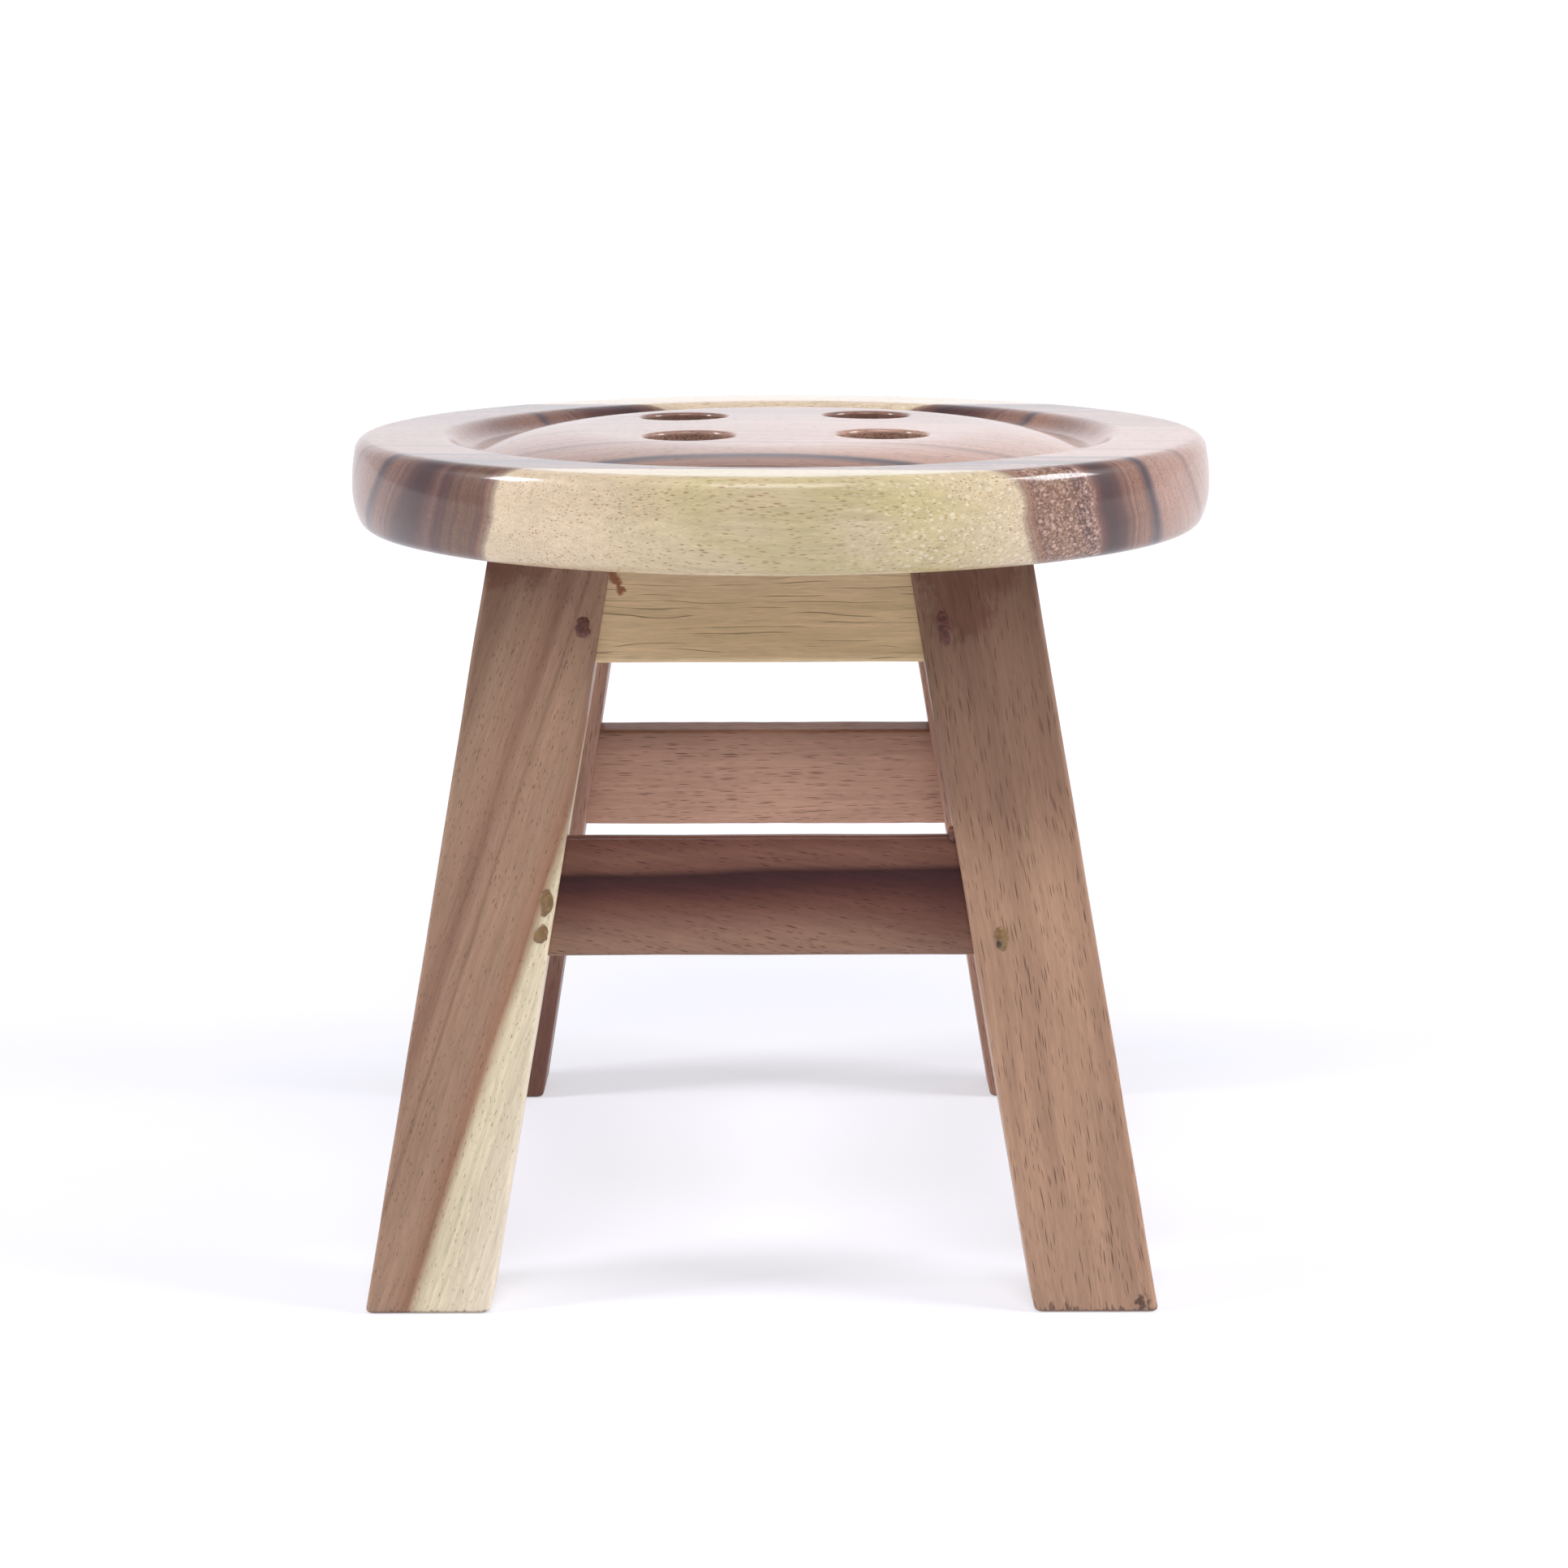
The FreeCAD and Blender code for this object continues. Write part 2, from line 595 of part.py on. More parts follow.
def staple_places(rail):
    """Where the staples of one kind of rail enter the legs, in the frame of the whole stool."""
    level = rail.middle_level()
    out = size(span_at(level))
    lean = Rotation(Vector(1, 0, 0), -size(TILT))
    places = []
    for turn, across, length in SIDES.values():
        along = out - size(f"Sizes.{across}") + size("Sizes.staple_inset")
        for place_x in (-along, along):
            in_front = Placement(Vector(place_x, -out, size(level)), lean)
            places.append(side_placement(turn).multiply(in_front))
    return places


def make_group(name, body, places):
    """Copies of one piece at several places, as separate solids of one node."""
    group = doc.addObject("Part::Feature", name)
    copies = []
    for place in places:
        copy = body.Shape.copy()
        copy.Placement = place.multiply(body.Shape.Placement)
        copies.append(copy)
    group.Shape = Part.Compound(copies)
    return group


def make_screw():
    """A pan-head wood screw with its head's underside at its origin and its point upwards."""
    body = new_body("screw")
    sketch = new_sketch(body, "XZ_Plane", "screw_section")
    head = "Sizes.screw_head_diameter / 2"
    shank = "Sizes.screw_shank_diameter / 2"
    reach = "(Sizes.screw_grip + Sizes.screw_bite)"
    draw_polygon(sketch, [
        ("0", "-Sizes.screw_head_height"), (head, "-Sizes.screw_head_height"), (head, "0"), (shank, "0"),
        (shank, f"{reach} - Sizes.screw_tip_length"), ("Sizes.screw_tip_diameter / 2", reach), ("0", reach),
    ])
    turned = body.newObject("PartDesign::Revolution", "screw_turning")
    turned.Profile = sketch
    turned.ReferenceAxis = (sketch, ["V_Axis"])
    turned.Angle = FULL_TURN
    doc.recompute()
    slot = new_sketch(body, "YZ_Plane", "screw_slot_outline")
    half = "Sizes.screw_slot_width / 2"
    low = "-Sizes.screw_head_height - Sizes.overrun"
    high = "-Sizes.screw_head_height + Sizes.screw_slot_depth"
    draw_polygon(slot, [(f"-{half}", low), (half, low), (half, high), (f"-{half}", high)])
    cut_pocket(body, "screw_slot", slot, both_ways=True)
    return body


def screw_places():
    in_front = Placement(Vector(0, -size(SCREW_LINE), size(SCREW_SEAT_LEVEL)), Rotation())
    return [side_placement(turn).multiply(in_front) for turn, across, length in SIDES.values()]


def cut_joint(name, wood, slots):
    """The finished piece: the wood with the staples' slots and the putty's recesses cut out."""
    piece = doc.addObject("Part::Cut", name)
    piece.Base = wood
    piece.Tool = slots
    return piece


pieces = [make_seat()]

staple = make_staple("staple", "0")
putty = make_putty("putty", "0", "0")
staple_slot = make_staple("staple_slot", "Sizes.staple_fit")
putty_recess = make_putty("putty_recess", "Sizes.putty_fit", "Sizes.overrun")
all_places = [place for rail in RAIL_KINDS for place in staple_places(rail)]
staple_slots = make_group("staple_slots", staple_slot, all_places)
putty_recesses = make_group("putty_recesses", putty_recess, all_places)
joint_cuts = doc.addObject("Part::Compound", "joint_cuts")
joint_cuts.Links = [staple_slots, putty_recesses]

for back, row in ((False, "front"), (True, "back")):
    for right, side in ((False, "left"), (True, "right")):
        name = f"leg_{row}_{side}"
        pieces.append(cut_joint(name, make_leg(name, right, back), joint_cuts))

for rail in RAIL_KINDS:
    for side in SIDES:
        name = f"{rail.kind}_{side}"
        pieces.append(cut_joint(name, make_rail(name, rail, side), joint_cuts))

for rail in RAIL_KINDS:
    pieces.append(make_group(f"{rail.kind}_joint_staples", staple, staple_places(rail)))
    pieces.append(make_group(f"{rail.kind}_joint_putty", putty, staple_places(rail)))
pieces.append(make_group("seat_screws", make_screw(), screw_places()))

doc.recompute()
for item in doc.Objects:
    if "Invalid" in item.State or "Error" in item.State:
        raise RuntimeError(f"{item.Name} failed: {item.State}")
    if item.isDerivedFrom("Sketcher::SketchObject") and not item.FullyConstrained:
        raise RuntimeError(f"{item.Name} isn't fully constrained")
for piece in pieces:
    if piece.Shape.isNull() or not piece.Shape.isValid() or not piece.Shape.Solids:
        raise RuntimeError(f"{piece.Label} has no valid solid")

os.makedirs("parts", exist_ok=True)
for piece in pieces:
    piece.Shape.exportStep(f"parts/{piece.Label}.step")
    print(piece.Label, len(piece.Shape.Solids), round(piece.Shape.Volume, 1))
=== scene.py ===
import math

import bmesh
import bpy
from mathutils import Matrix, Vector, noise


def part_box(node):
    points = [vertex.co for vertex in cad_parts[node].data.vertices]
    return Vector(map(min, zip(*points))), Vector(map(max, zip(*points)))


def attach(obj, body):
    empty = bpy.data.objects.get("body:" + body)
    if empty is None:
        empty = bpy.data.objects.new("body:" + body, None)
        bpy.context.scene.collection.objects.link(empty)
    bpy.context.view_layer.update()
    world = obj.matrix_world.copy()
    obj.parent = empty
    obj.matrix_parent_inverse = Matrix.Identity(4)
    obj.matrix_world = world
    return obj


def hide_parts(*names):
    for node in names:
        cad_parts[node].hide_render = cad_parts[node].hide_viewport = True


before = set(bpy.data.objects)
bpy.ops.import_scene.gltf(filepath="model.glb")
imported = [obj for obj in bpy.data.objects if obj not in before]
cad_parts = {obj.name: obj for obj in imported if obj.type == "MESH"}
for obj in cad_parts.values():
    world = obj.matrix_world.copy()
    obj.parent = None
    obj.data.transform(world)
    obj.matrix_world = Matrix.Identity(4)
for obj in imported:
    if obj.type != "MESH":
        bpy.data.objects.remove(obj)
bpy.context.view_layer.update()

MM = 0.001

# The seat: its box, read from model.glb, and the widths and rounds of its turned section
seat_low, seat_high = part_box("seat")
SEAT_RADIUS = (seat_high.x - seat_low.x) / 2
SEAT_BOTTOM = seat_low.z
FACE_RISE = 2.2 * MM
FACE_CROWN = 0.5 * MM
FACE_LEVEL = seat_high.z - FACE_CROWN
RIM_LEVEL = seat_high.z - FACE_RISE
BELLY_LEVEL = SEAT_BOTTOM + 12.5 * MM
UPPER_BELLY_ROUND = 58 * MM
LOWER_BELLY_ROUND = 25 * MM
TOP_EDGE_ROUND = 4.5 * MM
BOTTOM_EDGE_ROUND = 5 * MM
RIM_WIDTH = 27.4 * MM
LIP_WIDTH = 11.7 * MM
RING_RADIUS = SEAT_RADIUS - RIM_WIDTH - LIP_WIDTH
RING_DEPTH = 5 * MM
RING_ROUND = 9.3 * MM
FACE_RADIUS = 59.5 * MM
HOLE_RADIUS = 14 * MM
HOLE_DEPTH = 10 * MM
HOLE_MOUTH = 1.2 * MM
HOLE_X = 29.7 * MM
HOLE_Y = 31.4 * MM
HOLE_TURN = math.radians(3.2)

# The base, read from model.glb: legs that lean out both ways, and where their centre is
left_foot_low, left_foot_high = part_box("leg_front_left")
right_foot_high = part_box("leg_front_right")[1]
LEG_WIDTH = 37 * MM
LEG_DEPTH = 25 * MM
BASE_X = (left_foot_low.x + right_foot_high.x) / 2
FOOT_SPAN = (right_foot_high.x - left_foot_low.x) / 2
LEG_LEAN = (left_foot_high.x - left_foot_low.x - LEG_WIDTH) / SEAT_BOTTOM
LEG_ROUND = 1.6 * MM
FOOT_ROUND = 1.6 * MM

BASE_SHIFT = Vector((BASE_X, 0, 0))

# The rails' sections, tilted with the legs: foot is the lower edge's level, staple how far up the board
# from there its staples sit, and recess how far the board is set back from the legs' faces
LEAN_COSINE = 1 / math.hypot(1, LEG_LEAN)
LEAN_SINE = LEG_LEAN * LEAN_COSINE
APRON = {
    "kind": "apron", "foot": 190 * MM, "height": None, "thickness": 18 * MM, "recess": 1.5 * MM,
    "staple": 16 * MM,
}
STRETCHER = {
    "kind": "stretcher", "foot": 104.2 * MM, "height": 35.5 * MM, "thickness": 10 * MM, "recess": 3.4 * MM,
    "staple": 17.75 * MM,
}
RAIL_ROUND = 1.3 * MM
RAIL_SEATING = 4 * MM
STAPLE_INSET = 6 * MM
SCREW_GRIP = 18 * MM
BORE_RADIUS = 4.5 * MM
BORE_HEIGHT = 30 * MM
# Marks that lie off their joint's middle: how far aside and up, and how much longer they are
MARK_SLIPS = {
    ("apron", "front", -1): (0.7 * MM, -5.2 * MM, 0.85),
    ("apron", "front", 1): (1.4 * MM, -6 * MM, 1.25),
    ("stretcher", "front", -1): (3.0 * MM, -1.2 * MM, 0.95),
    ("stretcher", "front", 1): (3.0 * MM, -11.8 * MM, 0.9),
}
# Each side's turn from the front in degrees, and how wide a leg is along it
SIDES = {
    "front": (0, LEG_WIDTH), "right": (90, LEG_DEPTH),
    "back": (180, LEG_WIDTH), "left": (270, LEG_DEPTH),
}

# Sawn and sanded sticks: how far apart their cuts are, how their rounded edges wear, and how they wave
STICK_STEP = 1.6 * MM
EDGE_WEAR = 0.22
LEAST_ROUND = 0.3 * MM
SHORT_WEAR = 9 * MM
LONG_WEAR = 38 * MM
WAVE_ACROSS = 14 * MM
WAVE_ALONG = 30 * MM
WAVE_DEPTH = 0.14 * MM

# Levels in the seat, in millimetres: the middle of its board, and of the button holes' walls
SEAT_MIDDLE = 236
HOLE_MIDDLE = 246


class Link:
    """One output of a node. Sums, products and powers of links add their Math nodes."""

    def __init__(self, tree, socket):
        self.tree = tree
        self.socket = socket

    def maths(self, operation, *values, clamp=False):
        settings = {"operation": operation, "use_clamp": clamp}
        return self.tree.node("ShaderNodeMath", settings, dict(enumerate(values)))

    def __add__(self, other):
        return self.maths("ADD", self, other)

    def __radd__(self, other):
        return self.maths("ADD", other, self)

    def __sub__(self, other):
        return self.maths("SUBTRACT", self, other)

    def __rsub__(self, other):
        return self.maths("SUBTRACT", other, self)

    def __mul__(self, other):
        return self.maths("MULTIPLY", self, other)

    def __rmul__(self, other):
        return self.maths("MULTIPLY", other, self)

    def __truediv__(self, other):
        return self.maths("DIVIDE", self, other)

    def __rtruediv__(self, other):
        return self.maths("DIVIDE", other, self)

    def __pow__(self, other):
        return self.maths("POWER", self, other)

    def clamped(self):
        return self.maths("ADD", self, 0.0, clamp=True)

    def least(self, other):
        return self.maths("MINIMUM", self, other)

    def most(self, other):
        return self.maths("MAXIMUM", self, other)

    def size(self):
        return self.maths("ABSOLUTE", self)

    def root(self):
        return self.maths("SQRT", self)

    def fraction(self):
        return self.maths("FRACT", self)

    def step(self, start, end):
        """0 before start and 1 past end, with a soft change between. End may lie below start."""
        return self.tree.node(
            "ShaderNodeMapRange",
            {"interpolation_type": "SMOOTHSTEP"},
            {"Value": self, "From Min": start, "From Max": end, "To Min": 0.0, "To Max": 1.0},
        )

    def near(self, place, reach, blur):
        """1 within reach of place, falling to 0 over the blur."""
        return (self - place).size().step(reach + blur, reach)


class Tree:
    """A node tree that is written as expressions."""

    def __init__(self, nodes_of):
        self.tree = nodes_of

    def node(self, kind, settings=None, values=None, output=0):
        made = self.tree.nodes.new(kind)
        for name, value in (settings or {}).items():
            if name == "stops":
                set_stops(made.color_ramp, value)
            else:
                setattr(made, name, value)
        for name, value in (values or {}).items():
            self.feed(made.inputs[name], value)
        return Link(self, made.outputs[output]) if made.outputs else None

    def feed(self, socket, value):
        if isinstance(value, Link):
            self.tree.links.new(value.socket, socket)
        else:
            socket.default_value = value

    def mix(self, first, second, amount):
        """The first colour, turned into the second by the amount."""
        return self.node("ShaderNodeMix", {"data_type": "RGBA"}, {0: amount, 6: first, 7: second}, output=2)

    def vector(self, operation, first, second, output=0):
        return self.node("ShaderNodeVectorMath", {"operation": operation}, {0: first, 1: second}, output)

    def scaled(self, vector, amount):
        return self.node("ShaderNodeVectorMath", {"operation": "SCALE"}, {0: vector, "Scale": amount})

    def apart(self, vector):
        """The three parts of a vector."""
        parts = self.node("ShaderNodeSeparateXYZ", None, {"Vector": vector})
        return [Link(self, socket) for socket in parts.socket.node.outputs]

    def together(self, x, y, z):
        return self.node("ShaderNodeCombineXYZ", None, {"X": x, "Y": y, "Z": z})

    def noise(self, place, detail=2.0, roughness=0.5, scale=1.0, output=0):
        values = {"Vector": place, "Scale": scale, "Detail": detail, "Roughness": roughness}
        return self.node("ShaderNodeTexNoise", None, values, output)

    def ramp(self, amount, stops, interpolation="EASE"):
        return self.node("ShaderNodeValToRGB", {"stops": (interpolation, stops)}, {"Fac": amount})


def set_stops(ramp, setting):
    """Stops of a colour ramp, as places from 0 to 1 with their colours."""
    interpolation, stops = setting
    ramp.interpolation = interpolation
    while len(ramp.elements) < len(stops):
        ramp.elements.new(1.0)
    for element, (place, colour) in zip(ramp.elements, sorted(stops, key=lambda stop: stop[0])):
        element.position = place
        element.color = colour


def tone(red, green, blue):
    """A colour from its screen values, 0 to 255."""
    shares = [value / 255 for value in (red, green, blue)]
    linear = [share / 12.92 if share <= 0.04045 else ((share + 0.055) / 1.055) ** 2.4 for share in shares]
    return (*linear, 1.0)


# Finishes

def new_finish(name):
    """A material, and its tree with nothing in it yet."""
    material = bpy.data.materials.new(name)
    material.use_nodes = True
    material.node_tree.nodes.clear()
    return material, Tree(material.node_tree)


def finish_with(tree, values):
    """Ends a material's tree in a shader that shows these values."""
    shader = tree.node("ShaderNodeBsdfPrincipled", None, values)
    tree.node("ShaderNodeOutputMaterial", None, {"Surface": shader})


def stool_place(tree):
    """Millimetres from the stool's origin."""
    place = tree.node("ShaderNodeTexCoord", output="Object")
    return tree.vector("MULTIPLY", place, (1 / MM, 1 / MM, 1 / MM))


def grain_place(tree, place, centre, direction, wander):
    """Millimetres from the board's centre, with X along a grain that wanders a little."""
    turn = Vector(direction).to_track_quat("X", "Z").to_euler()
    values = {"Vector": place, "Location": centre, "Rotation": turn}
    straight = tree.node("ShaderNodeMapping", {"vector_type": "TEXTURE"}, values)
    drift = tree.noise(stretched(tree, straight, 90, 30), output=1)
    drift = tree.vector("SUBTRACT", drift, (0.5, 0.5, 0.5))
    return tree.vector("ADD", straight, tree.vector("MULTIPLY", drift, (0.0, wander, wander)))


def stretched(tree, grain, along, across):
    """The grain's coordinates in units that are long along it and short across it."""
    return tree.vector("MULTIPLY", grain, (1 / along, 1 / across, 1 / across))


def dashes(tree, grain, length, width, size):
    """Open vessels as short dashes along the grain, thicker in some places than in others."""
    cells = stretched(tree, grain, length, width)
    cell = tree.node("ShaderNodeTexVoronoi", None, {"Vector": cells, "Scale": 1.0})
    chance = Link(tree, cell.socket.node.outputs["Color"])
    crowd = tree.noise(stretched(tree, grain, 60, 9))
    reach = size * (0.2 + chance * 1.2) * (0.4 + crowd * 1.2)
    return cell.step(reach, reach * 0.4)


def spot(tree, place, centre, reach):
    """1 in a small round spot round this place, in millimetres."""
    return tree.vector("DISTANCE", place, centre, output="Value").step(reach, reach * 0.5)


def stroke(tree, place, start, end, width):
    """1 along a short straight line, fading out at its width."""
    start = Vector(start)
    run = Vector(end) - start
    away = tree.vector("SUBTRACT", place, start)
    along = tree.vector("DOT_PRODUCT", away, run / run.dot(run), output="Value")
    nearest = tree.scaled(run, along.clamped())
    return tree.vector("DISTANCE", away, nearest, output="Value").step(width, width * 0.4)


def together_most(links):
    """The largest of several links at each place."""
    most = links[0]
    for link in links[1:]:
        most = most.most(link)
    return most


def dash_vessels(length, width, size, strength):
    """One wood's kind of open vessels."""
    def laid(tree, grain):
        return dashes(tree, grain, length, width, size) * strength
    return laid


short_dashes = dash_vessels(3.0, 0.6, 0.28, 0.6)
seat_dashes = dash_vessels(3.6, 0.62, 0.36, 0.7)
fine_dashes = dash_vessels(5.0, 0.6, 0.32, 0.75)
long_dashes = dash_vessels(10.0, 0.52, 0.35, 0.75)


def long_cracks(tree, grain):
    """Thin dark lines that run far along the board and wave a little."""
    _, inward, upward = tree.apart(grain)
    spacing = 1.9
    wave = tree.noise(stretched(tree, grain, 40, 8))
    turns = (upward + inward * 0.4) / spacing + wave * 3.0
    there = tree.noise(stretched(tree, grain, 34, 1.5), detail=1.0).step(0.47, 0.6)
    return (turns.fraction() - 0.5).size().step(0.09, 0.02) * there * 0.75


def nowhere(tree, place):
    return 0.0


def wood_finish(name, centre, direction, paint, vessels=short_dashes, wander=6.0, gloss=0.12, shine=0.3,
                bare=nowhere):
    """Clear-lacquered wood. paint gives the board's and its open vessels' colours, vessels where they lie,
    and bare where the lacquer is missing."""
    material, tree = new_finish(name)
    place = stool_place(tree)
    grain = grain_place(tree, place, centre, direction, wander)
    colour, vessel_colour = paint(tree, place, grain)
    fibre = tree.noise(stretched(tree, grain, 6, 0.32), detail=3.0, roughness=0.6)
    streak = tree.noise(stretched(tree, grain, 70, 1.5), detail=3.0, roughness=0.6)
    cloud = tree.noise(stretched(tree, grain, 50, 18))
    lighten = 1.0 + (fibre - 0.5) * 0.6 + (streak - 0.5) * 0.5 + (cloud - 0.5) * 0.3
    open_grain = vessels(tree, grain)
    unlacquered = bare(tree, place)
    sanding = tree.noise(stretched(tree, grain, 30, 12), detail=1.0)
    height = (fibre - 0.5) * 0.05 - open_grain * 0.12 + (sanding - 0.5) * 0.9
    relief = tree.node("ShaderNodeBump", None, {"Strength": 0.5, "Distance": 0.25 * MM, "Height": height})
    finish_with(tree, {
        "Base Color": tree.mix(tree.scaled(colour, lighten), vessel_colour, open_grain),
        "Roughness": 0.45 + (fibre - 0.5) * 0.2 + open_grain * 0.15 + unlacquered * 0.3,
        "Coat Weight": gloss * (1.0 - open_grain * 0.5) * (1.0 - unlacquered),
        "Specular IOR Level": shine,
        "Coat Roughness": 0.1,
        "Coat IOR": 1.5,
        "Normal": relief,
    })
    return material


CREAM = tone(224, 201, 178)
SAPWOOD = tone(210, 188, 158)
OLIVE = tone(192, 178, 122)
PALE_FLECK = tone(240, 230, 206)
PINK_FLECK = tone(206, 170, 152)
PINK_BROWN = tone(186, 144, 124)
BROWN = tone(144, 104, 88)
WARM_BROWN = tone(160, 114, 92)
OLIVE_BROWN = tone(128, 92, 68)
RED_BROWN = tone(98, 60, 52)
BLACK_RED = tone(66, 40, 40)
BLUE_BLACK = tone(70, 58, 68)
VESSEL_BROWN = tone(84, 56, 42)
VESSEL_TAN = tone(146, 108, 70)
VESSEL_OLIVE = tone(136, 98, 42)
VESSEL_CRACK = tone(100, 76, 52)
SCUFF_AND_SHADE = tone(74, 50, 44)
END_GRAIN = tone(84, 64, 48)

# The seat's colours from front to back, at places in millimetres across the board
SEAT_BANDS = (
    (-140, SAPWOOD), (-112.6, SAPWOOD), (-110.6, WARM_BROWN), (-108, OLIVE_BROWN), (-101, OLIVE_BROWN),
    (-99, RED_BROWN), (-97, RED_BROWN), (-95.5, BROWN), (-93.5, RED_BROWN), (-91.5, BLACK_RED),
    (-88.5, BLACK_RED), (-85, RED_BROWN), (-81.5, WARM_BROWN), (-72.6, WARM_BROWN), (-70.2, BLUE_BLACK),
    (-68.2, BLUE_BLACK), (-64.5, PINK_BROWN), (-42, PINK_BROWN), (-38, BROWN), (-35, PINK_BROWN),
    (0, PINK_BROWN), (28, BROWN), (50, WARM_BROWN), (53, BLUE_BLACK), (57, BROWN), (66, BROWN),
    (74, RED_BROWN), (86, BLACK_RED), (90.5, BROWN), (92, SAPWOOD), (140, CREAM),
)


def banded(tree, measure, bands):
    """The colour at each place, for bands that lie along a measure of the place."""
    low, high = bands[0][0], bands[-1][0]
    stops = [((level - low) / (high - low), colour) for level, colour in bands]
    return tree.ramp((measure - low) / (high - low), stops, "LINEAR")


def in_holes(tree, place):
    """1 on the walls and floors of the button holes, and 0 on the rest of the seat that shows."""
    x, y, z = tree.apart(place)
    return (x * x + y * y).step(62 ** 2, 58 ** 2) * z.near(HOLE_MIDDLE, 4.3, 0.7)


def seat_paint(tree, place, grain):
    """Bands across the board: sapwood at the front and back, dark lines through the brown heart, and
    painted shade towards the left end.
    """
    x, y, z = tree.apart(place)
    wander = tree.noise(stretched(tree, grain, 80, 30)) - 0.5
    waves = tree.noise(stretched(tree, grain, 60, 6)) - 0.5
    steep = 1.0 - y.size().step(35, 112)
    slant = (y * -0.0275).most(-1.1).least(1.1) * steep
    tilt = 0.06 + 0.037 * y.near(-60, 10, 22) - 0.03 * y.step(0, 50)
    radius = (x * x + y * y).root()
    around = y * (SEAT_RADIUS / MM / radius - 1.0) * z.step(249, 240) * radius.step(112, 120)
    rise = z - SEAT_MIDDLE
    lean = rise.least(0.0) * y.step(-80, -105) * 0.3
    across = y + around + lean + x * tilt + rise * slant + wander * 4 + waves * 1.6
    colour = banded(tree, across, SEAT_BANDS)
    sap = across.step(-111, -113.5).most(across.step(90.5, 92.5))
    line = tree.noise(tree.together(across / 2.3, 0.0, 0.0), detail=3.0, roughness=0.65)
    lines = line.step(0.62, 0.34) * (1.0 - sap) * (0.3 + across.size().step(60, 74) * 0.5)
    colour = tree.mix(colour, BLACK_RED, lines * 0.8)

    green = tree.noise(stretched(tree, grain, 36, 14), detail=1.0).step(0.3, 0.6) * x.near(12, 30, 34) * sap
    colour = tree.mix(colour, OLIVE, (green * 0.38 + x.near(5, 25, 45) * sap * 0.3) * y.step(0, -60))
    fleck = dashes(tree, grain, 2.4, 1.3, 0.5)
    colour = tree.mix(colour, PALE_FLECK, fleck * x.step(0, 45) * sap * 0.4)
    rough_patch = x.step(56, 64) * across.near(-102.5, 6.5, 2.0)
    speckle = tree.noise(stretched(tree, grain, 1.2, 0.8)).step(0.44, 0.6)
    colour = tree.mix(colour, PINK_FLECK, fleck.most(speckle * 0.5) * rough_patch * 0.7)
    # Painted shade: the heart darkens towards the seat's left end, where less light falls.
    colour = tree.mix(colour, BLACK_RED, x.step(40, -110) * (1.0 - sap) * 0.36)
    colour = tree.mix(colour, BLACK_RED, radius.step(126, 133) * across.step(-97, -90) * (1.0 - sap) * 0.26)
    pores = tree.noise(place, detail=1.0, scale=1.2).step(0.42, 0.62)
    colour = tree.mix(colour, END_GRAIN, in_holes(tree, place) * (0.3 + pores * 0.35))
    return colour, tree.mix(VESSEL_BROWN, VESSEL_TAN, sap)


def band_paint(measure, bands, vessel, late_vessel, change):
    """A board whose colour follows a measure of the place, and whose vessels change at one level of it."""
    def paint(tree, place, grain):
        wander = tree.noise(stretched(tree, grain, 60, 16)) - 0.5
        across = measure(*tree.apart(place)) + wander * 2.4
        late = across.step(change - 1, change + 1)
        return banded(tree, across, bands), tree.mix(vessel, late_vessel, late)
    return paint


def plain_paint(main, second, vessel):
    """A board of two close tones in long soft streaks."""
    def paint(tree, place, grain):
        drift = tree.noise(stretched(tree, grain, 120, 9))
        return tree.mix(main, second, drift.step(0.38, 0.62)), vessel
    return paint


def stain_and_shade_paint(paint, dark_places, colour, reach, strength):
    """The same board darkened at each of these places, or along each of these lines: real stains, and in
    one use a painted shade.
    """
    def darkened(tree, place, grain):
        bare, vessel = paint(tree, place, grain)
        blur = tree.noise(place, scale=0.35) - 0.5
        warp = blur * min(reach * 3.0, 12.0)
        moved = tree.vector("ADD", place, tree.together(warp, warp * -1.0, warp))
        marks = [
            stroke(tree, moved, *dark_place, reach) if len(dark_place) == 2 else spot(tree, moved, dark_place, reach)
            for dark_place in dark_places
        ]
        return tree.mix(bare, colour, together_most(marks) * strength), vessel
    return darkened


def worn_and_shaded_foot(paint, notches=2.6):
    """The same board with a dark line along its foot, partly grime and partly painted contact shadow, and
    scuffs up to so many millimetres above it.
    """
    def scuffed_and_shaded(tree, place, grain):
        bare, vessel = paint(tree, place, grain)
        height = tree.apart(place)[2]
        scuffs = tree.noise(stretched(tree, grain, 6, 1.2), detail=1.0).step(0.5, 0.7) * notches
        # The dark line at the very foot is partly grime and partly painted contact shadow; the scuffs above
        # it are wear.
        return tree.mix(bare, SCUFF_AND_SHADE, (height - scuffs).step(1.2, 0.4) * 0.6), vessel
    return scuffed_and_shaded


def height_measure(x, y, z):
    return z


# The front left leg: how its grain slants, a measure across that grain, and its colours along the measure
SPLIT_LEG_SLANT = 0.335
SPLIT_LEG_BANDS = (
    (-185, OLIVE_BROWN), (-158, tone(132, 102, 82)), (-152, tone(134, 104, 84)),
    (-147, tone(154, 124, 102)), (-139, tone(158, 124, 102)), (-134, tone(140, 106, 86)),
    (-131, tone(162, 128, 106)), (-128.9, tone(158, 124, 102)), (-128.1, tone(136, 106, 86)),
    (-127.2, tone(160, 127, 104)), (-118, tone(162, 129, 106)), (-113.6, tone(156, 118, 95)),
    (-112.2, tone(150, 110, 85)), (-108.8, tone(222, 207, 174)), (-90, tone(228, 213, 188)),
    (-60, CREAM),
)


def split_leg_measure(x, y, z):
    depth = y + z * -LEG_LEAN + FOOT_SPAN / MM
    return x - z * SPLIT_LEG_SLANT + depth * 0.3


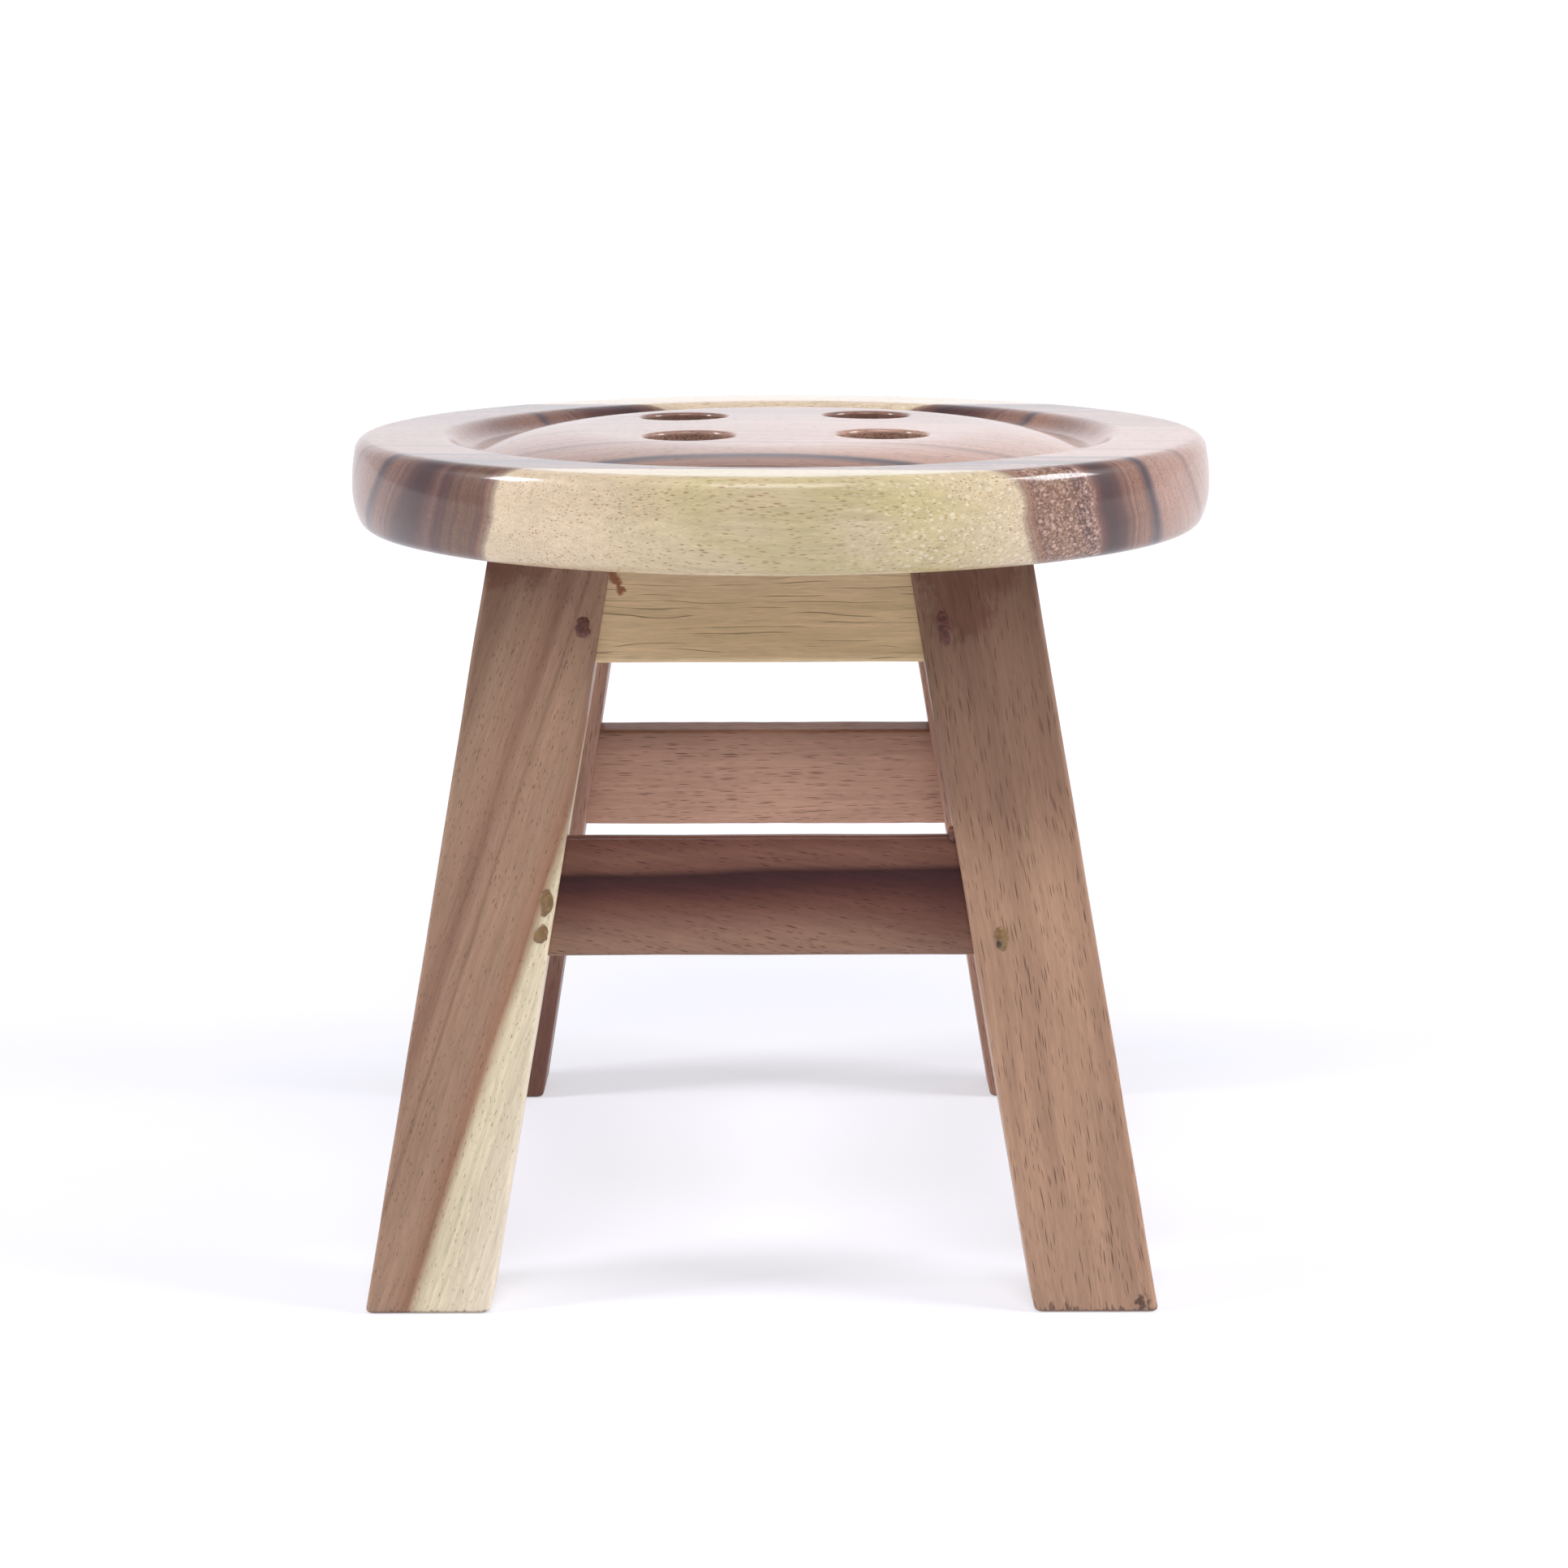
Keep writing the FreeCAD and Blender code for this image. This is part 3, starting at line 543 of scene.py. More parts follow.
# The front stretcher: a measure across its sloping grain, and its colours along the measure
DARK_STRETCHER_BANDS = (
    (100, tone(144, 112, 94)), (110, tone(138, 106, 88)), (117, tone(114, 78, 66)),
    (121.5, tone(92, 56, 48)), (124.5, tone(72, 41, 38)), (128.4, tone(58, 32, 32)),
    (130.2, tone(108, 72, 60)), (134, tone(118, 80, 66)), (137, tone(106, 68, 56)), (142, tone(84, 50, 42)),
)


def dark_stretcher_measure(x, y, z):
    return z + x * -0.02 + x.step(10, 60) * (128 - z).most(0.0) * 0.35


def steel_finish(name, colour, roughness):
    """Bright steel with fine drawn lines."""
    material, tree = new_finish(name)
    place = tree.node("ShaderNodeTexCoord", output="Object")
    lines = tree.noise(place, scale=900)
    finish_with(tree, {
        "Base Color": tree.mix(colour, tone(120, 116, 108), lines.step(0.5, 0.8) * 0.5),
        "Metallic": 1.0,
        "Roughness": roughness + (lines - 0.5) * 0.2,
    })
    return material


# Shapes

def new_piece(name, mesh, nodes, finish=None):
    """A finished piece that rides on the stool and stands for its CAD nodes."""
    piece = bpy.data.objects.new(name, mesh)
    bpy.context.scene.collection.objects.link(piece)
    if finish:
        piece.data.materials.clear()
        piece.data.materials.append(finish)
    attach(piece, "root")
    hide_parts(*nodes)


def arc(centre, radius, start, end, steps):
    """Points of an arc between two angles in degrees, both ends included."""
    angles = [math.radians(start + (end - start) * step / steps) for step in range(steps + 1)]
    return [(centre[0] + radius * math.cos(angle), centre[1] + radius * math.sin(angle))
            for angle in angles]


def line(start, end, step):
    """Points of a straight run, both ends included."""
    count = max(1, math.ceil(math.dist(start, end) / step))
    return [(start[0] + (end[0] - start[0]) * k / count, start[1] + (end[1] - start[1]) * k / count)
            for k in range(count + 1)]


def angle_of(centre, place):
    """The angle of a place seen from a centre, in degrees."""
    return math.degrees(math.atan2(place[1] - centre[1], place[0] - centre[0]))


def side_arc_round(across, down):
    """The round of an arc that starts level, and meets the ring's arc this far across and down."""
    return (across ** 2 + down ** 2) / (2 * down) - RING_ROUND


def seat_section():
    """Half of the seat's section, from the underside's middle out and over to the top's middle."""
    lower_centre = (SEAT_RADIUS - LOWER_BELLY_ROUND, BELLY_LEVEL)
    reach = LOWER_BELLY_ROUND - BOTTOM_EDGE_ROUND
    drop = BELLY_LEVEL - SEAT_BOTTOM - BOTTOM_EDGE_ROUND
    bottom_centre = (lower_centre[0] + math.sqrt(reach ** 2 - drop ** 2), SEAT_BOTTOM + BOTTOM_EDGE_ROUND)
    upper_centre = (SEAT_RADIUS - UPPER_BELLY_ROUND, BELLY_LEVEL)
    reach = UPPER_BELLY_ROUND - TOP_EDGE_ROUND
    rise = RIM_LEVEL - TOP_EDGE_ROUND - BELLY_LEVEL
    edge_centre = (upper_centre[0] + math.sqrt(reach ** 2 - rise ** 2), RIM_LEVEL - TOP_EDGE_ROUND)

    lip = RING_RADIUS + LIP_WIDTH
    ring_centre = (RING_RADIUS, RIM_LEVEL - RING_DEPTH + RING_ROUND)
    lip_round = side_arc_round(LIP_WIDTH, RING_DEPTH)
    lip_centre = (lip, RIM_LEVEL - lip_round)
    shoulder_round = side_arc_round(RING_RADIUS - FACE_RADIUS, FACE_LEVEL - RIM_LEVEL + RING_DEPTH)
    shoulder_centre = (FACE_RADIUS, FACE_LEVEL - shoulder_round)

    lower_turn = angle_of(lower_centre, bottom_centre)
    edge_turn = angle_of(upper_centre, edge_centre)
    lip_turn = angle_of(lip_centre, ring_centre)
    shoulder_turn = angle_of(shoulder_centre, ring_centre)
    return joined((
        line((0, SEAT_BOTTOM), (bottom_centre[0], SEAT_BOTTOM), 7 * MM),
        arc(bottom_centre, BOTTOM_EDGE_ROUND, -90, lower_turn, 7),
        arc(lower_centre, LOWER_BELLY_ROUND, lower_turn, 0, 7),
        arc(upper_centre, UPPER_BELLY_ROUND, 0, edge_turn, 8),
        arc(edge_centre, TOP_EDGE_ROUND, edge_turn, 90, 10),
        line((edge_centre[0], RIM_LEVEL), (lip, RIM_LEVEL), 2.6 * MM),
        arc(lip_centre, lip_round, 90, lip_turn, 10),
        arc(ring_centre, RING_ROUND, lip_turn - 180, shoulder_turn - 180, 12),
        arc(shoulder_centre, shoulder_round, shoulder_turn, 90, 16),
        line((FACE_RADIUS, FACE_LEVEL), (0, FACE_LEVEL), 3.2 * MM),
    ))


def joined(runs):
    """One outline from runs that follow each other, without doubled points."""
    points = []
    for run in runs:
        for place in run:
            if not points or math.dist(points[-1], place) > 0.01 * MM:
                points.append(place)
    return points


def hole_section():
    """Half of the cutter for a button hole: a flat floor, a straight wall and a rounded mouth."""
    floor = FACE_LEVEL - HOLE_DEPTH
    corner = 0.8 * MM
    mouth = HOLE_RADIUS + HOLE_MOUTH
    clear = FACE_LEVEL + 4 * MM
    return joined((
        line((0, floor), (HOLE_RADIUS - corner, floor), 7 * MM),
        arc((HOLE_RADIUS - corner, floor + corner), corner, -90, 0, 3),
        line((HOLE_RADIUS, floor + corner), (HOLE_RADIUS, FACE_LEVEL - HOLE_MOUTH), 2.5 * MM),
        arc((mouth, FACE_LEVEL - HOLE_MOUTH), HOLE_MOUTH, 180, 90, 7),
        line((mouth, FACE_LEVEL), (mouth, clear), 8 * MM),
        line((mouth, clear), (0, clear), 20 * MM),
    ))


def outline_mesh(name, outlines):
    """Open outlines as edges, each point marked with the number of its outline."""
    mesh = bpy.data.meshes.new(name)
    points, edges, marks = [], [], []
    for number, outline in enumerate(outlines):
        first = len(points)
        points.extend(Vector((radius, -level, 0)) for radius, level in outline)
        edges.extend((k, k + 1) for k in range(first, len(points) - 1))
        marks.extend([number] * len(outline))
    mesh.from_pydata(points, edges, [])
    mesh.attributes.new("outline", "INT", "POINT").data.foreach_set("value", marks)
    return mesh


def shape_tree(name, takes, gives):
    """A geometry tree with named inputs of these kinds, and its inputs as links."""
    group = bpy.data.node_groups.new(name, "GeometryNodeTree")
    for socket, kind in takes.items():
        group.interface.new_socket(socket, in_out="INPUT", socket_type="NodeSocket" + kind)
    group.interface.new_socket(gives, in_out="OUTPUT", socket_type="NodeSocketGeometry")
    tree = Tree(group)
    inputs = tree.node("NodeGroupInput").socket.node.outputs
    return group, tree, {socket.name: Link(tree, socket) for socket in inputs}


def end_shape(tree, name, shape, finish):
    """Ends a geometry tree in one real mesh of one finish."""
    shape = tree.node("GeometryNodeRealizeInstances", None, {"Geometry": shape})
    shape = tree.node("GeometryNodeSetMaterial", None, {"Geometry": shape, "Material": finish})
    tree.node("NodeGroupOutput", None, {name: shape})


def cut_away(tree, body, cutter):
    settings = {"operation": "DIFFERENCE", "solver": "EXACT"}
    return tree.node("GeometryNodeMeshBoolean", settings, {"Mesh 1": body, "Mesh 2": cutter})


def carried(tree, name, kind="FLOAT_VECTOR"):
    """A value that each point carries."""
    return tree.node("GeometryNodeInputNamedAttribute", {"data_type": kind}, {"Name": name})


def turning_tree():
    """Turns the first outline into a round body and cuts the second from it at four places."""
    group, tree, given = shape_tree("turned_button_seat", {
        "Outlines": "Geometry", "Steps Round": "Int", "Hole Steps": "Int", "Path Radius": "Float",
        "Hole X": "Float", "Hole Y": "Float", "Hole Turn": "Float", "Face Radius": "Float",
        "Face Crown": "Float", "Unevenness": "Float", "Seed": "Float", "Wood": "Material",
    }, "Seat")

    def turned(outline, steps):
        circle = tree.node("GeometryNodeCurvePrimitiveCircle", {"mode": "RADIUS"},
                           {"Resolution": steps, "Radius": given["Path Radius"]})
        profile = tree.node("GeometryNodeMeshToCurve", None, {"Mesh": outline})
        body = tree.node("GeometryNodeCurveToMesh", None, {"Curve": circle, "Profile Curve": profile})
        body = tree.node("GeometryNodeMergeByDistance", None, {"Geometry": body, "Distance": 0.05 * MM})
        return tree.node("GeometryNodeFlipFaces", None, {"Mesh": body})

    parts = tree.node("GeometryNodeSeparateGeometry", {"domain": "POINT"},
                      {"Geometry": given["Outlines"], "Selection": carried(tree, "outline", "INT")})
    cutter = turned(parts, given["Hole Steps"])
    seat = turned(Link(tree, parts.socket.node.outputs["Inverted"]), given["Steps Round"])
    grid = tree.node("GeometryNodeMeshGrid", None, {
        "Size X": given["Hole X"] * 2, "Size Y": given["Hole Y"] * 2, "Vertices X": 2, "Vertices Y": 2})
    turn = tree.together(0.0, 0.0, given["Hole Turn"])
    grid = tree.node("GeometryNodeTransform", None, {"Geometry": grid, "Rotation": turn})
    cutters = tree.node("GeometryNodeInstanceOnPoints", None, {"Points": grid, "Instance": cutter})
    cutters = tree.node("GeometryNodeRealizeInstances", None, {"Geometry": cutters})
    cut = cut_away(tree, seat, cutters)

    place = tree.node("GeometryNodeInputPosition")
    x, y, z = tree.apart(place)
    share = ((x * x + y * y) / (given["Face Radius"] ** 2)).least(1.0)
    crown = given["Face Crown"] * (1.0 - share) ** 2 * z.step(SEAT_BOTTOM, FACE_LEVEL)
    rise = tree.together(0.0, 0.0, crown)
    cut = tree.node("GeometryNodeSetPosition", None, {"Geometry": cut, "Offset": rise})
    wave = tree.node("ShaderNodeTexNoise", {"noise_dimensions": "4D"},
                     {"Vector": place, "W": given["Seed"], "Scale": 22.0, "Detail": 1.0})
    offset = tree.scaled(tree.node("GeometryNodeInputNormal"), (wave - 0.75) * given["Unevenness"])
    body = tree.node("GeometryNodeSetPosition", None, {"Geometry": cut, "Offset": offset})
    body = tree.node("GeometryNodeSetShadeSmooth", None, {"Geometry": body})
    end_shape(tree, "Seat", body, given["Wood"])
    return group


def baked(name, mesh, group, inputs):
    """The plain mesh that a geometry tree makes of a mesh."""
    carrier = bpy.data.objects.new(name + "_carrier", mesh)
    bpy.context.scene.collection.objects.link(carrier)
    modifier = carrier.modifiers.new(name, "NODES")
    modifier.node_group = group
    for socket in group.interface.items_tree:
        if socket.in_out == "INPUT" and socket.name in inputs:
            modifier[socket.identifier] = inputs[socket.name]
    shown = carrier.evaluated_get(bpy.context.evaluated_depsgraph_get())
    made = bpy.data.meshes.new_from_object(shown)
    carrier.modifiers.clear()
    bpy.data.objects.remove(carrier)
    made.name = name
    return made


def span_at(level):
    """How far the legs' outer faces are from the base's centre at a level."""
    return FOOT_SPAN - level * LEG_LEAN


def loop_around(width, depth, rounds, flats, turns):
    """A rounded rectangle round 0, 0, with its own round on each corner."""
    quarters = []
    for number, (right, up) in enumerate(((1, 1), (-1, 1), (-1, -1), (1, -1))):
        round_here = rounds[number]
        centre = (right * (width / 2 - round_here), up * (depth / 2 - round_here))
        quarters.append(arc(centre, round_here, number * 90, number * 90 + 90, turns))
    points = []
    for number, quarter in enumerate(quarters):
        points.extend(quarter)
        start = quarter[-1]
        end = quarters[(number + 1) % 4][0]
        count = flats[number % 2]
        for step in range(1, count):
            share = step / count
            points.append((start[0] + (end[0] - start[0]) * share,
                           start[1] + (end[1] - start[1]) * share))
    return points


def stick(name, width, depth, edge_round, length, place, seed, foot_round=0.0):
    """A sawn and sanded stick. place puts a section's point, at a share of the length, on the stool."""
    turns = 5
    flats = (math.ceil(width / STICK_STEP), math.ceil(depth / STICK_STEP))
    angles = [math.radians(90 * turn / turns) for turn in range(turns + 1)]
    stations = sorted({foot_round * (1 - math.cos(angle)) for angle in angles})
    count = math.ceil((length - foot_round) / STICK_STEP)
    stations.extend(foot_round + (length - foot_round) * k / count for k in range(1, count + 1))
    vertices, faces = [], []
    for distance in stations:
        inset = 0.0
        if distance < foot_round:
            inset = foot_round - math.sqrt(foot_round ** 2 - (foot_round - distance) ** 2)
        rounds = []
        for corner in range(4):
            drift = noise.noise(Vector((distance / SHORT_WEAR, corner * 7.3, seed)))
            drift += noise.noise(Vector((distance / LONG_WEAR, corner * 3.1, seed + 5)))
            rounds.append(max(LEAST_ROUND, edge_round * (1 + EDGE_WEAR * drift)))
        for across, up in loop_around(width - 2 * inset, depth - 2 * inset, rounds, flats, turns):
            wave = Vector((across / WAVE_ACROSS, up / WAVE_ACROSS, distance / WAVE_ALONG + seed))
            shrink = 1 - WAVE_DEPTH * (0.6 + noise.noise(wave)) / (depth / 2)
            vertices.append(place(across * shrink, up * shrink, distance / length))
    ring = len(vertices) // len(stations)
    for row in range(len(stations) - 1):
        for column in range(ring):
            following = (column + 1) % ring
            faces.append((row * ring + column, row * ring + following,
                          (row + 1) * ring + following, (row + 1) * ring + column))
    faces.append(tuple(reversed(range(ring))))
    faces.append(tuple(range((len(stations) - 1) * ring, len(stations) * ring)))
    mesh = bpy.data.meshes.new(name)
    mesh.from_pydata(vertices, [], faces)
    shaped = bmesh.new()
    shaped.from_mesh(mesh)
    bmesh.ops.recalc_face_normals(shaped, faces=shaped.faces)
    caps = [face for face in shaped.faces if len(face.verts) > 4]
    bmesh.ops.inset_region(shaped, faces=caps, thickness=0.4 * MM)
    shaped.to_mesh(mesh)
    shaped.free()
    mesh.shade_smooth()
    return mesh


def leg_centre(side, depth_side, level):
    """The middle of a leg at a level."""
    span = span_at(level)
    return BASE_X + side * (span - LEG_WIDTH / 2), depth_side * (span - LEG_DEPTH / 2), level


def leg(side, depth_side, finish, seed):
    """One leg, leaning out to its side and to the front or back."""
    name = "leg_" + ("front" if depth_side < 0 else "back") + "_" + ("left" if side < 0 else "right")

    def place(across, up, share):
        x, y, level = leg_centre(side, depth_side, SEAT_BOTTOM * share)
        return Vector((x + across, y + up, level))

    mesh = stick(name, LEG_WIDTH, LEG_DEPTH, LEG_ROUND, SEAT_BOTTOM, place, seed, FOOT_ROUND)
    new_piece("worn_" + name, mesh, [name], finish)


def side_turn(side):
    """The turn from the front to another side."""
    return Matrix.Rotation(math.radians(SIDES[side][0]), 3, "Z")


def rail_mesh(side, sizes, seed):
    """One apron or stretcher between two legs, tilted with their faces and let a little way into them."""
    leg_size = SIDES[side][1]
    height = sizes["height"] or (SEAT_BOTTOM - sizes["foot"]) / LEAN_COSINE
    out_at_foot = span_at(sizes["foot"]) - sizes["recess"]
    turned = side_turn(side)

    def place(inward, up, share):
        up += height / 2
        inward += sizes["thickness"] / 2
        level = sizes["foot"] + up * LEAN_COSINE - inward * LEAN_SINE
        out = out_at_foot - up * LEAN_SINE - inward * LEAN_COSINE
        if level > SEAT_BOTTOM or (sizes is APRON and up > height - RAIL_ROUND):
            level = SEAT_BOTTOM
            out = span_at(level) - sizes["recess"] - inward / LEAN_COSINE
        reach = span_at(level) - leg_size + RAIL_SEATING
        return turned @ Vector((reach * (2 * share - 1), -out, level)) + BASE_SHIFT

    length = 2 * (span_at(sizes["foot"] + height / 2) - leg_size + RAIL_SEATING)
    name = "sanded_" + sizes["kind"] + "_" + side
    return stick(name, sizes["thickness"], height, RAIL_ROUND, length, place, seed)


def bored_tree():
    """Cuts one upright bore from a board."""
    group, tree, given = shape_tree("bored_board", {
        "Board": "Geometry", "Bore Radius": "Float", "Bore Height": "Float", "Bore Place": "Vector",
        "Wood": "Material",
    }, "Bored Board")
    drill = tree.node("GeometryNodeMeshCylinder", None, {
        "Vertices": 48, "Radius": given["Bore Radius"], "Depth": given["Bore Height"]})
    place = given["Bore Place"]
    drill = tree.node("GeometryNodeTransform", None, {"Geometry": drill, "Translation": place})
    end_shape(tree, "Bored Board", cut_away(tree, given["Board"], drill), given["Wood"])
    return group


def bore_apron(mesh, side, group, finish):
    """The hole from below in which an apron's seat screw sits."""
    level = SEAT_BOTTOM - SCREW_GRIP
    out = span_at(level) - APRON["recess"] - APRON["thickness"] / 2 / LEAN_COSINE
    place = side_turn(side) @ Vector((0, -out, level - BORE_HEIGHT / 2)) + BASE_SHIFT
    inputs = {"Bore Radius": BORE_RADIUS, "Bore Height": BORE_HEIGHT, "Bore Place": place, "Wood": finish}
    return baked(mesh.name, mesh, group, inputs)


def mark_tree():
    """Puts an uneven flat lump on each point, with the turn and size that the point carries."""
    group, tree, given = shape_tree("putty_marks", {
        "Places": "Geometry", "Fineness": "Int", "Unevenness": "Float", "Grain Size": "Float",
        "Seed": "Float", "Putty": "Material",
    }, "Marks")
    lump = tree.node("GeometryNodeMeshIcoSphere", None, {"Radius": 1.0, "Subdivisions": given["Fineness"]})
    marks = tree.node("GeometryNodeInstanceOnPoints", None, {
        "Points": given["Places"], "Instance": lump,
        "Rotation": carried(tree, "turn"), "Scale": carried(tree, "size")})
    marks = tree.node("GeometryNodeRealizeInstances", None, {"Geometry": marks})
    place = tree.node("GeometryNodeInputPosition")
    wave = tree.node("ShaderNodeTexNoise", {"noise_dimensions": "4D"}, {
        "Vector": place, "W": given["Seed"], "Scale": 1.0 / given["Grain Size"], "Detail": 2.0}, output=1)
    wave = tree.vector("SUBTRACT", wave, (0.5, 0.5, 0.5))
    outward = carried(tree, "outward")
    height = tree.vector("DOT_PRODUCT", wave, outward, output="Value")
    wave = tree.vector("SUBTRACT", wave, tree.scaled(outward, height * 0.9))
    offset = tree.scaled(wave, given["Unevenness"])
    marks = tree.node("GeometryNodeSetPosition", None, {"Geometry": marks, "Offset": offset})
    marks = tree.node("GeometryNodeSetShadeSmooth", None, {"Geometry": marks})
    end_shape(tree, "Marks", marks, given["Putty"])
    return group


def joint_marks(sizes, half):
    """Each joint's mark on a leg's face: its place, its turn, its half sizes and the way it faces."""
    marks = []
    level = sizes["foot"] + sizes["staple"] * LEAN_COSINE
    for side, (_, leg_size) in SIDES.items():
        turned = side_turn(side)
        for end in (-1, 1):
            aside, higher, longer = MARK_SLIPS.get((sizes["kind"], side, end), (0, 0, 1))
            height = level + higher
            out = span_at(height)
            place = turned @ Vector((end * (out - leg_size + STAPLE_INSET) + aside, -out, height))
            up = (turned @ Vector((-end * LEG_LEAN, LEG_LEAN, 1))).normalized()
            outward = (turned @ Vector((0, -1, LEG_LEAN))).normalized()
            across = outward.cross(up).normalized()
            spin = Matrix((up, across, outward)).transposed().to_euler()
            scale = Vector((half[0] * longer, half[1], half[2]))
            marks.append((place + BASE_SHIFT, Vector(spin), scale, outward))
    return marks


def putty_marks(name, marks, node, finish, seed, group):
    """The putty over a set of joints, as one piece."""
    mesh = bpy.data.meshes.new(name + "_places")
    mesh.from_pydata([mark[0] for mark in marks], [], [])
    for attribute, column in (("turn", 1), ("size", 2), ("outward", 3)):
        values = [part for mark in marks for part in mark[column]]
        mesh.attributes.new(attribute, "FLOAT_VECTOR", "POINT").data.foreach_set("vector", values)
    inputs = {"Fineness": 5, "Unevenness": 3.4 * MM, "Grain Size": 3.4 * MM, "Seed": seed, "Putty": finish}
    new_piece(name, baked(name, mesh, group, inputs), [node])


def putty_finish(name, colour, second, pits):
    """Dried putty or glue, darker in patches, with small dark pits at these places."""
    material, tree = new_finish(name)
    place = stool_place(tree)
    patch = tree.noise(place, detail=3.0, scale=0.6).step(0.4, 0.62)
    grit = tree.noise(place, scale=2.5)
    pitted = together_most([spot(tree, place, pit, 1.3) for pit in pits])
    height = grit - pitted * 1.5
    relief = tree.node("ShaderNodeBump", None, {"Strength": 0.6, "Distance": 0.3 * MM, "Height": height})
    finish_with(tree, {
        "Base Color": tree.mix(tree.mix(colour, second, patch), tone(52, 36, 30), pitted * 0.9),
        "Roughness": 0.4 + grit * 0.25,
        "Coat Weight": 0.4,
        "Coat Roughness": 0.2,
        "Normal": relief,
    })
    return material


def studio():
    """A plain white floor that fades into a white surround, with soft lights at both sides and in front."""
    floor_material, tree = new_finish("pale_floor")
    x, y, _ = tree.apart(tree.node("ShaderNodeTexCoord", output="Object"))
    glow = 0.46 + (x * x + y * y).root().step(0.22, 0.9) * 0.54
    near = tree.node("ShaderNodeBsdfDiffuse", None, {"Color": (0.88, 0.88, 0.92, 1.0)})
    far = tree.node("ShaderNodeEmission", None, {"Color": (0.98, 0.98, 1.03, 1.0), "Strength": 1.12})
    both = tree.node("ShaderNodeMixShader", None, {0: glow, 1: near, 2: far})
    tree.node("ShaderNodeOutputMaterial", None, {"Surface": both})
    reach = 30
    mesh = bpy.data.meshes.new("floor")
    corners = [(-reach, -reach, 0), (reach, -reach, 0), (reach, reach, 0), (-reach, reach, 0)]
    mesh.from_pydata(corners, [], [(0, 1, 2, 3)])
    mesh.materials.append(floor_material)
    floor = bpy.data.objects.new("floor", mesh)
    bpy.context.scene.collection.objects.link(floor)

    world = bpy.data.worlds.new("studio")
    world.use_nodes = True
    world.node_tree.nodes.clear()
    tree = Tree(world.node_tree)
    x, y, z = tree.apart(tree.node("ShaderNodeTexCoord", output="Generated"))
    light = tree.ramp(y * 0.5 + 0.5, [(0.0, (0.1, 0.1, 0.11, 1.0)), (0.4, (0.14, 0.14, 0.15, 1.0)),
                                      (0.62, (0.45, 0.45, 0.48, 1.0)), (0.85, (1.25, 1.25, 1.3, 1.0))])
    seen = tree.node("ShaderNodeLightPath", output="Is Camera Ray")
    light = tree.mix(light, (0.16, 0.16, 0.17, 1.0), z.step(0.3, 0.7) * 0.6)
    light = tree.mix(light, (0.22, 0.22, 0.27, 1.0), x.step(-0.25, -0.9) * 0.7)
    light = tree.mix(light, (0.24, 0.22, 0.24, 1.0), x.step(0.3, 0.9) * 0.45)
    colour = tree.mix(light, (1.1, 1.1, 1.1, 1.0), seen)
    surround = tree.node("ShaderNodeBackground", None, {"Color": colour, "Strength": 1.0})
    tree.node("ShaderNodeOutputWorld", None, {"Surface": surround})
    bpy.context.scene.world = world
    bpy.context.scene.view_settings.view_transform = "Standard"

    soft_light("left_box", (-1.18, -0.3, 0.85), 0.26, 0.45, 11)
    soft_light("right_box", (1.2, -0.22, 0.85), 0.45, 0.6, 14)
    soft_light("front_box", (0.0, -1.15, 1.75), 1.0, 1.0, 15)


def soft_light(name, place, width, height, power):
    """A box light that faces the middle of the stool."""
    lamp = bpy.data.lights.new(name, "AREA")
    lamp.shape = "RECTANGLE"
    lamp.size = width
    lamp.size_y = height
    lamp.energy = power
    lamp.color = (0.97, 0.99, 1.04)
    box = bpy.data.objects.new(name, lamp)
    box.location = place
    box.rotation_euler = (Vector((0, 0, 0.12)) - Vector(place)).to_track_quat("-Z", "Y").to_euler()
    bpy.context.scene.collection.objects.link(box)


def camera():
    """The photograph's viewpoint, a metre in front of the stool and a little above it."""
    place = (2.689 * MM, -1000.555 * MM, 347.69 * MM)
    downward = 0.2089
    aside = -0.0019
    roll = -0.003
    lens = bpy.data.cameras.new("camera")
    lens.sensor_width = 36
    lens.lens = 72.479
    viewer = bpy.data.objects.new("camera", lens)
    level = math.cos(downward)
    forward = Vector((math.sin(aside) * level, math.cos(aside) * level, -math.sin(downward)))
    right = Vector((math.cos(aside), -math.sin(aside), 0))
    up = right.cross(forward)
    rolled_right = math.cos(roll) * right + math.sin(roll) * up
    rolled_up = math.cos(roll) * up - math.sin(roll) * right
    turn = Matrix((rolled_right, rolled_up, -forward)).transposed()
    viewer.matrix_world = Matrix.Translation(place) @ turn.to_4x4()
    bpy.context.scene.collection.objects.link(viewer)
    bpy.context.scene.camera = viewer


def make_seat():
    wood = wood_finish("seat_wood", (0, 0, SEAT_MIDDLE), (1, 0, 0), seat_paint, seat_dashes,
                       gloss=0.7, shine=0.35, bare=in_holes)
    inputs = {
        "Steps Round": 400, "Hole Steps": 96, "Path Radius": 0.01 * MM,
        "Hole X": HOLE_X, "Hole Y": HOLE_Y, "Hole Turn": HOLE_TURN,
        "Face Radius": FACE_RADIUS, "Face Crown": FACE_CROWN,
        "Unevenness": 0.25 * MM, "Seed": 4.0, "Wood": wood,
    }
    outlines = outline_mesh("seat_outlines", (seat_section(), hole_section()))
    mesh = baked("button_seat", outlines, turning_tree(), inputs)
    new_piece("button_seat", mesh, ["seat"])


def leg_grain(side, depth_side):
    """The middle of a leg in millimetres, and the way it leans."""
    middle = Vector(leg_centre(side, depth_side, SEAT_BOTTOM / 2)) / MM
    return middle, Vector((-side * LEG_LEAN, -depth_side * LEG_LEAN, 1.0))


